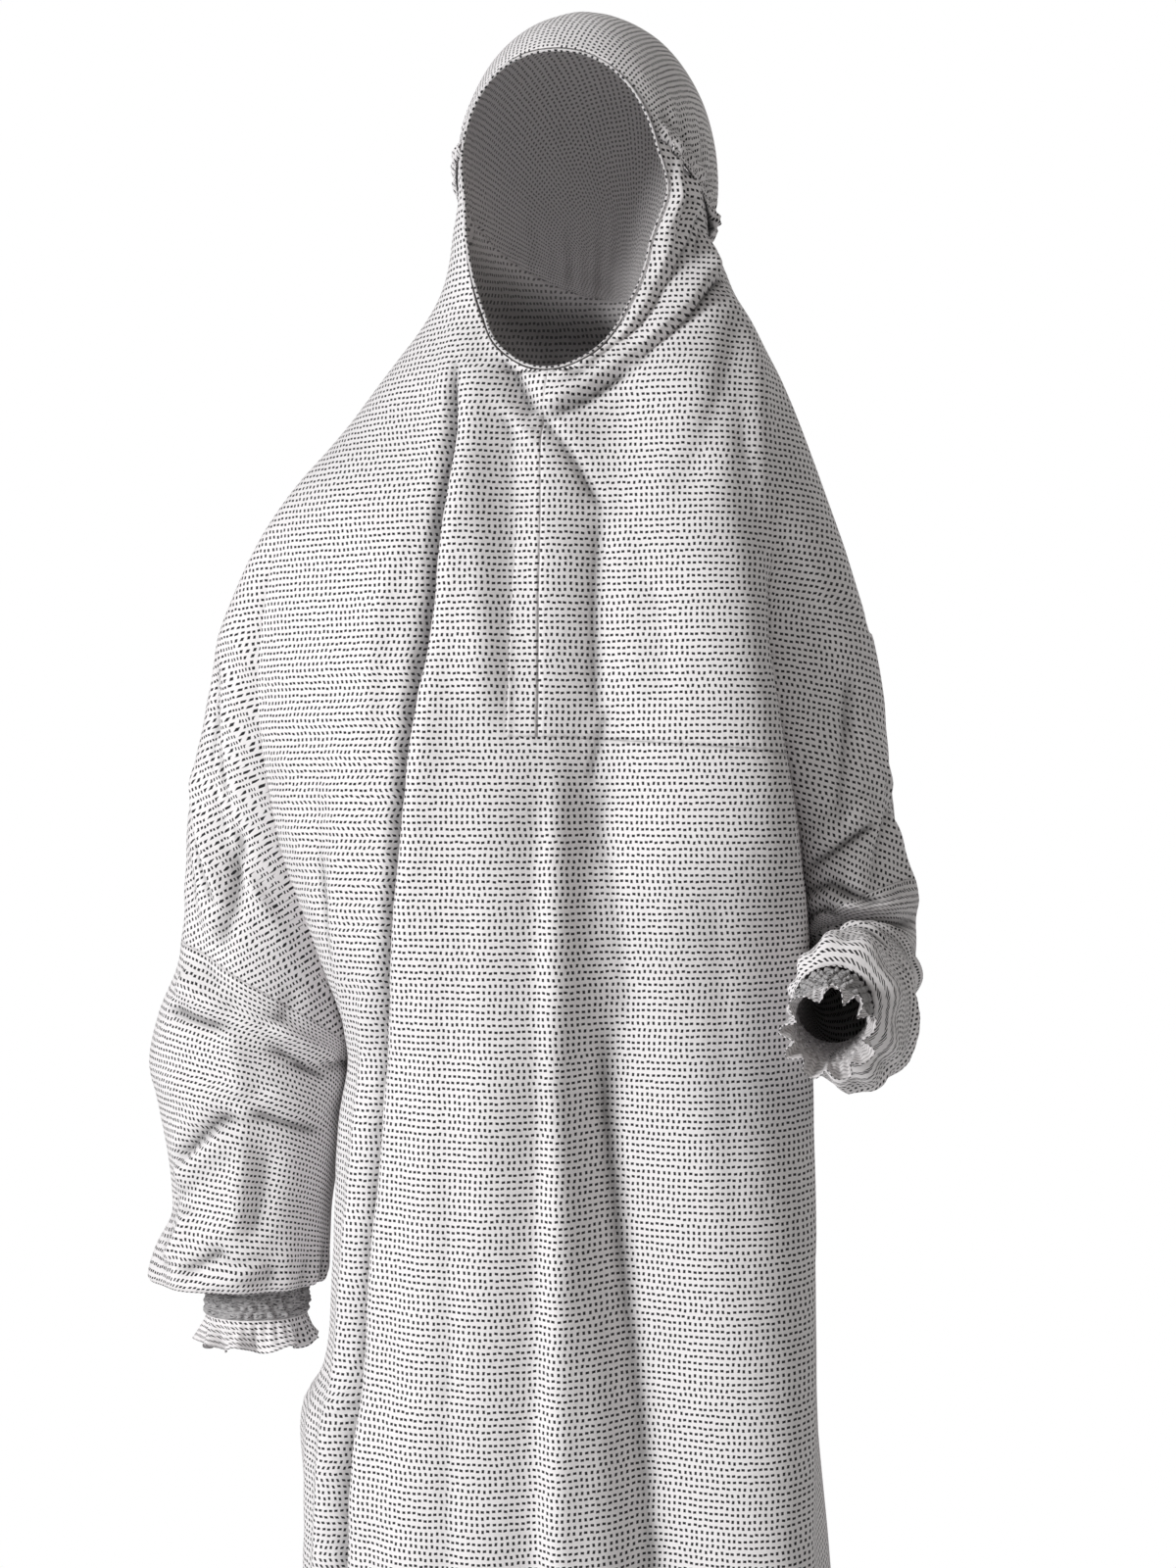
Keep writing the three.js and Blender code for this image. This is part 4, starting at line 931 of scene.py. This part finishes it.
def crownPoint(_, u, v):
    # rays from the hood's top to the rim: the brow first, then the crown's lower edge round the back
    share = hood["browShare"]
    brow = crownDirection(*browPoint(np.clip(u / share, 0, 1), cut["inset"]))
    spin = mix(cornerAngle, 360 - cornerAngle, (u - share) / (1 - share))
    z = (crownEdge(np.minimum(spin, 360 - spin)) - crown["z"]) / crown["up"]
    flat = np.sqrt(1 - z * z)
    rear = np.stack([np.sin(np.radians(spin)) * flat, -np.cos(np.radians(spin)) * flat, z + 0 * spin], axis=-1)
    rim = np.where((u < share)[..., None], brow, rear)
    lean, round = np.arccos(rim[..., 2]) * v, np.arctan2(rim[..., 0], -rim[..., 1])
    swell = crownSwell(u, v, np.degrees(round))
    x = crown["x"] + (crown["across"] + swell) * np.sin(lean) * np.sin(round)
    y = crown["y"] - (crown["along"] + swell) * np.sin(lean) * np.cos(round)
    return turned(x, y, crown["z"] + (crown["up"] + swell * 0.5) * np.cos(lean))


def crownSwell(u, v, angle):
    # gathers fan up from the crown's lower edge, which rolls out over the drape
    rear = (u > hood["browShare"]).astype(float)
    gathers = np.sin(angle / 360 * 2 * math.pi * 42 + 1.4 * np.sin(angle / 13)) * 1.3
    gathers = gathers + 0.9 * np.sin(angle / 360 * 2 * math.pi * 23 + 2)
    low = ease(0.62, 0.97, v)
    roll = 4.2 * np.exp(-(((v - 0.965) / 0.03) ** 2)) - 1.2 * np.exp(-(((v - 0.9) / 0.03) ** 2))
    soft = unevenness(angle * 1.5, v * 170, 0.35) * ease(0.05, 0.3, v)
    return rear * (gathers * low * 0.9 + roll) + soft


def crownChart(points):
    # the print's rows run from the brow over the hood and draw together at the nape: angles are
    # read from a point below the crown's middle and turned into lengths along its outline
    low = 72
    turnBack = math.radians(10)
    x = (points[..., 0] * math.cos(turnBack) - points[..., 1] * math.sin(turnBack)) - crown["x"]
    y = (points[..., 1] * math.cos(turnBack) + points[..., 0] * math.sin(turnBack)) - crown["y"]
    z = points[..., 2] - crown["z"] + low
    outline = np.linspace(0, 2.6, 200)
    lengths = []
    for radius, reach, height in (("across", x, z), ("along", y, np.hypot(x, z))):
        seen = np.arctan2(crown[radius] * np.sin(outline), crown["up"] * np.cos(outline) + low)
        steps = np.hypot(np.diff(crown[radius] * np.sin(outline)), np.diff(crown["up"] * np.cos(outline)))
        run = np.concatenate([[0], np.cumsum(steps)])
        angle = np.arctan2(reach, height)
        lengths.append(np.sign(angle) * np.interp(np.abs(angle), seen, run))
    return np.stack([lengths[1], lengths[0]], axis=-1)


crownColumns = joined(spaced(0, hood["browShare"], hood["browColumns"]),
                      spaced(hood["browShare"], 1, hood["rearColumns"]))
wholeCrown = patch("left", crownColumns, spaced(0, 1, hood["rows"]), crownPoint, seams="bottom")
wholeCrown["nearSeam"][:, crownColumns < hood["browShare"]] = chartRule["offSeam"]
crownPatch = patch("left", crownColumns, spaced(hood["firstRow"], 1, hood["rows"]), crownPoint) | {
    "chart": crownChart(wholeCrown["points"]), "nearSeam": wholeCrown["nearSeam"]}
crownCloth = clothObject("crownCloth", [crownPatch], hood["thickness"])
print("hood made")

hemRoll = {"radius": 1.1, "flatness": 0.8, "sides": 10}


def tubeAlong(path, sides, wide, thick, middlePoint):
    # a flattened ring is carried along the path, its wide way across the cloth's edge
    forward = np.gradient(path, axis=0)
    forward = forward / np.linalg.norm(forward, axis=1, keepdims=True)
    across = np.cross(forward, path - middlePoint)
    across = across / np.linalg.norm(across, axis=1, keepdims=True)
    out = np.cross(across, forward)
    angle = np.linspace(0, 2 * math.pi, sides + 1)
    c, s = np.cos(angle)[None, :, None], np.sin(angle)[None, :, None]
    ring = c * out[:, None] * wide + s * across[:, None] * thick
    points = path[:, None] + ring
    length = np.concatenate([[0], np.cumsum(np.linalg.norm(np.diff(path, axis=0), axis=1))])
    chart = np.stack(np.broadcast_arrays(angle[None, :] * wide, length[:, None]), axis=-1)
    offSeam = np.full(points.shape[:2], chartRule["offSeam"])
    return {"side": "left", "points": points, "chart": chart, "nearSeam": offSeam}


browPath = turned(*browPoint(spaced(0, 1, 60), 0.0))
faceRows = spaced(0, chinRow, 60)
edgePaths = []
for side in ("left", "right"):
    z = centreLevel(side, faceRows)
    edgePaths.append(bodyPoint(side, faceAngle(side, z) / reachAngle(z), z, "front"))
facePath = np.concatenate([browPath, edgePaths[0][1:], edgePaths[1][-2:0:-1]])
facePath = np.concatenate([facePath, facePath[:1]])
hoodMiddle = np.array([crown["x"], crown["y"], face["middle"]], float)
hemThick = hemRoll["radius"] * hemRoll["flatness"]
hemPatch = tubeAlong(facePath, hemRoll["sides"], hemRoll["radius"], hemThick, hoodMiddle)
faceHem = clothObject("faceHem", [hemPatch], 0, rolled, rolled)
faceHem.modifiers.clear()  # a closed roll needs no wall
print("face hem made")


# tie bands: a rolled strip along the crown's lower edge, to a knot at its side

tie = {"first": 60, "knot": 97, "last": 104, "width": 7.5, "lift": 2.3, "knotHeight": 6, "thickness": 0.8,
       "chartWidth": 12, "bias": 0.3}


def tiePatch(side):
    # a band along the crown's edge, domed by a sine, wider and higher at the knot
    u, v = np.meshgrid(spaced(0, 1, 70), spaced(0, 1, 10))
    angle = mix(tie["first"], tie["last"], u)
    knot = np.exp(-(((angle - tie["knot"]) / 4.2) ** 2))
    spread = tie["width"] * (1 - 0.35 * ease(0, 0.1, u) * ease(0.9, 0.5, u) + 0.5 * knot)
    points = hoodPoint(side, angle, crownEdge(angle) + spread * (0.5 - v))
    bulge = 1.6 * np.sin(math.pi * v) ** 0.7 + 0.4 * np.sin(angle * 2.1 + 3 * v) * np.sin(math.pi * v)
    twists = tie["knotHeight"] * np.sin(math.pi * v) + 0.8 * np.sin(v * 19 + angle)
    height = tie["lift"] - 1.4 + bulge + knot * twists
    points = points + outwardNormals(points, side) * height[..., None]
    steps = np.linalg.norm(np.diff(points, axis=1), axis=2)
    across = np.pad(np.cumsum(steps, axis=1), ((0, 0), (1, 0)))
    chart = np.stack([across, v * tie["chartWidth"] + across * tie["bias"]], axis=-1)
    # painted shade in the band's folds and along its lower edge, for the shadow it casts on the drape
    return {"side": side, "points": points, "chart": chart, "nearSeam": np.full(u.shape, chartRule["offSeam"]),
            "foldShade": np.maximum(foldShadeDepth(points, side), ease(0.72, 0.95, v))}


ties = {side: clothObject("tieBand" + side.capitalize(), [tiePatch(side)], tie["thickness"]) for side in signs}
print("tie bands made")


# sleeves, smocked cuffs and frills

sleeve = {"columns": 110, "gridRows": 70, "thickness": 0.8, "chartLength": {"right": 236, "left": 205}}
cuff = {"gap": 1.0, "length": 34, "rows": 6, "tucks": 26, "puff": 3.8, "thickness": 0.6,
        "columns": 340, "gridRows": 60, "chartLength": {"right": 52, "left": 52}, "chartScale": (0.8, 1.5)}
frill = {"length": 22, "flare": 4.5, "waves": 9, "depth": 6.2, "thickness": 0.6, "columns": 280, "gridRows": 22,
         "chartLength": {"right": 23, "left": 23}}


def sleevePoint(side, u, v):
    # straight runs from the armhole to the cuff, over the arm's rings
    t = armSpread(u)
    top = armholeLevel(side, t) - seamGap * (1 + 2 * np.abs(2 * t - 1) ** 6)
    return armPoint(side, t, mix(top, cuffTop[side], v))


def wristPoint(side, u, distance, grow):
    # the cuff's top ring, moved along the arm by the distance
    level = np.full(np.shape(u), float(cuffTop[side]))
    tilt = math.radians(float(along(armRings[side], "level", "tilt", np.float64(cuffTop[side]))))
    point = armRing(side, math.pi * (1 - 2 * u), level, grow)
    return point + np.array([0, -math.sin(tilt), -math.cos(tilt)]) * np.asarray(distance)[..., None]


def cuffPoint(side, u, v):
    # rows of elastic draw the cloth in; between them it stands out in small uneven puffs
    row = np.floor(v * cuff["rows"] * 0.9999)
    spin = 2 * math.pi * u
    shift = 2.3 * row + 1.2 * np.sin(spin * 5 + row) + 0.8 * np.sin(spin * 3 + 2 * row)
    tuck = np.cos(cuff["tucks"] * spin + shift)
    tuck = tuck + 0.7 * np.cos(41 * spin + 2.9 * row) + 0.5 * np.cos(17 * spin - 1.3 * row)
    between = np.abs(np.sin(math.pi * cuff["rows"] * v + 0.5 * np.sin(7 * spin) * np.sin(math.pi * v)))
    puff = cuff["puff"] * (0.36 + 0.3 * tuck) * (0.12 + 0.88 * between)
    return wristPoint(side, u, cuff["gap"] + v * cuff["length"], -2.0 + puff)


def frillPoint(side, u, v):
    # the free edge swings in and out in ruffles and curls up where it stands out
    spin = 2 * math.pi * u
    scale = 1.0 if side == "right" else 0.72
    phase = frill["waves"] * spin + 0.9 * np.sin(2 * spin + 1) + 0.5 * np.sin(3 * spin)
    wave = (np.sin(phase) + 0.25 * np.sin(2 * phase + 1)) * frill["depth"] * scale
    small = 0.7 * np.sin(31 * spin + 1) * (1 - v) * v * 4
    reach = cuff["gap"] + cuff["length"] + 0.3 + v * frill["length"] * (0.9 - 0.13 * np.sin(phase + 0.4) * v)
    return wristPoint(side, u, reach, -1.8 + (frill["flare"] * scale + wave) * v**1.3 + small)


kinds = (("sleeve", sleeve, sleevePoint), ("cuff", cuff, cuffPoint), ("frill", frill, frillPoint))
tubes = {}
for side in signs:
    for kind, made, pointAt in kinds:
        tube = patch(side, spaced(0, 1, made["columns"]), spaced(0, 1, made["gridRows"]), pointAt,
                     seams="top bottom" if kind == "sleeve" else "", lengthDown=made["chartLength"][side])
        if kind == "cuff":
            tube["chart"] *= np.array(cuff["chartScale"])
        outer = smocked if kind == "cuff" else viscose
        tubes[kind + side] = clothObject(kind + "Cloth" + side.capitalize(), [tube], made["thickness"], outer)
print("sleeves, cuffs and frills made")


# what each piece stands for: the part that it takes the place of is hidden, and the piece hangs from the root

def areaOf(cloth):  # the sum of its faces, in square metres
    areas = np.zeros(len(cloth.data.polygons), np.float32)
    cloth.data.polygons.foreach_get("area", areas)
    return float(areas.sum())


single = (frontCloth, upperLeftCloth, backCloth, placketCloth, crownCloth, faceHem)
for piece in (*single, *ties.values(), *tubes.values()):
    print(piece.name, round(areaOf(piece), 4), "m2")

declare(frontCloth, "front_main", (0.62, 1.6), "crownCloth")
declare(upperLeftCloth, "front_upper_left", (0.3, 0.47), "crownCloth")
declare(backCloth, "back", (0.78, 1.6), "crownCloth")
declare(placketCloth, "front_placket", (0.02, 0.2), "frontCloth")
declare(crownCloth, "hood_crown", (0.42, 0.26), "faceHem")
declare(faceHem, "face_binding", (0.01, 0.53), "crownCloth")
flats = {
    # width and length of the cut of each sleeve, cuff and frill
    "right": {"sleeve": (0.4, 0.25), "cuff": (0.24, 0.04), "frill": (0.26, 0.023)},
    "left": {"sleeve": (0.36, 0.24), "cuff": (0.2, 0.04), "frill": (0.22, 0.023)},
}
for side in signs:
    declare(ties[side], "tie_band_" + side, (0.012, 0.07), "crownCloth")
    restsOn = "frontCloth" if side == "right" else "upperLeftCloth"
    for kind, flat in flats[side].items():
        declare(tubes[kind + side], kind + "_" + side, flat, restsOn)
        restsOn = tubes[kind + side].name

floorLevel = cadBox[0][2] - 0.002
bpy.ops.mesh.primitive_plane_add(size=3.9, location=(0, 0, floorLevel))
floor = bpy.context.object
floor.name = "floor"
floorPaint = bpy.data.materials.new("paleFloor")
floorPaint.use_nodes = True
floorShader = floorPaint.node_tree.nodes["Principled BSDF"]
floorShader.inputs["Base Color"].default_value = (0.86, 0.86, 0.86, 1)
floorShader.inputs["Roughness"].default_value = 0.9
floor.data.materials.append(floorPaint)
floor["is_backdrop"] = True

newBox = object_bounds()
plain = lambda box: [[float(x) for x in corner] for corner in box]
{"cad": plain(cadBox), "visual": plain(newBox)}
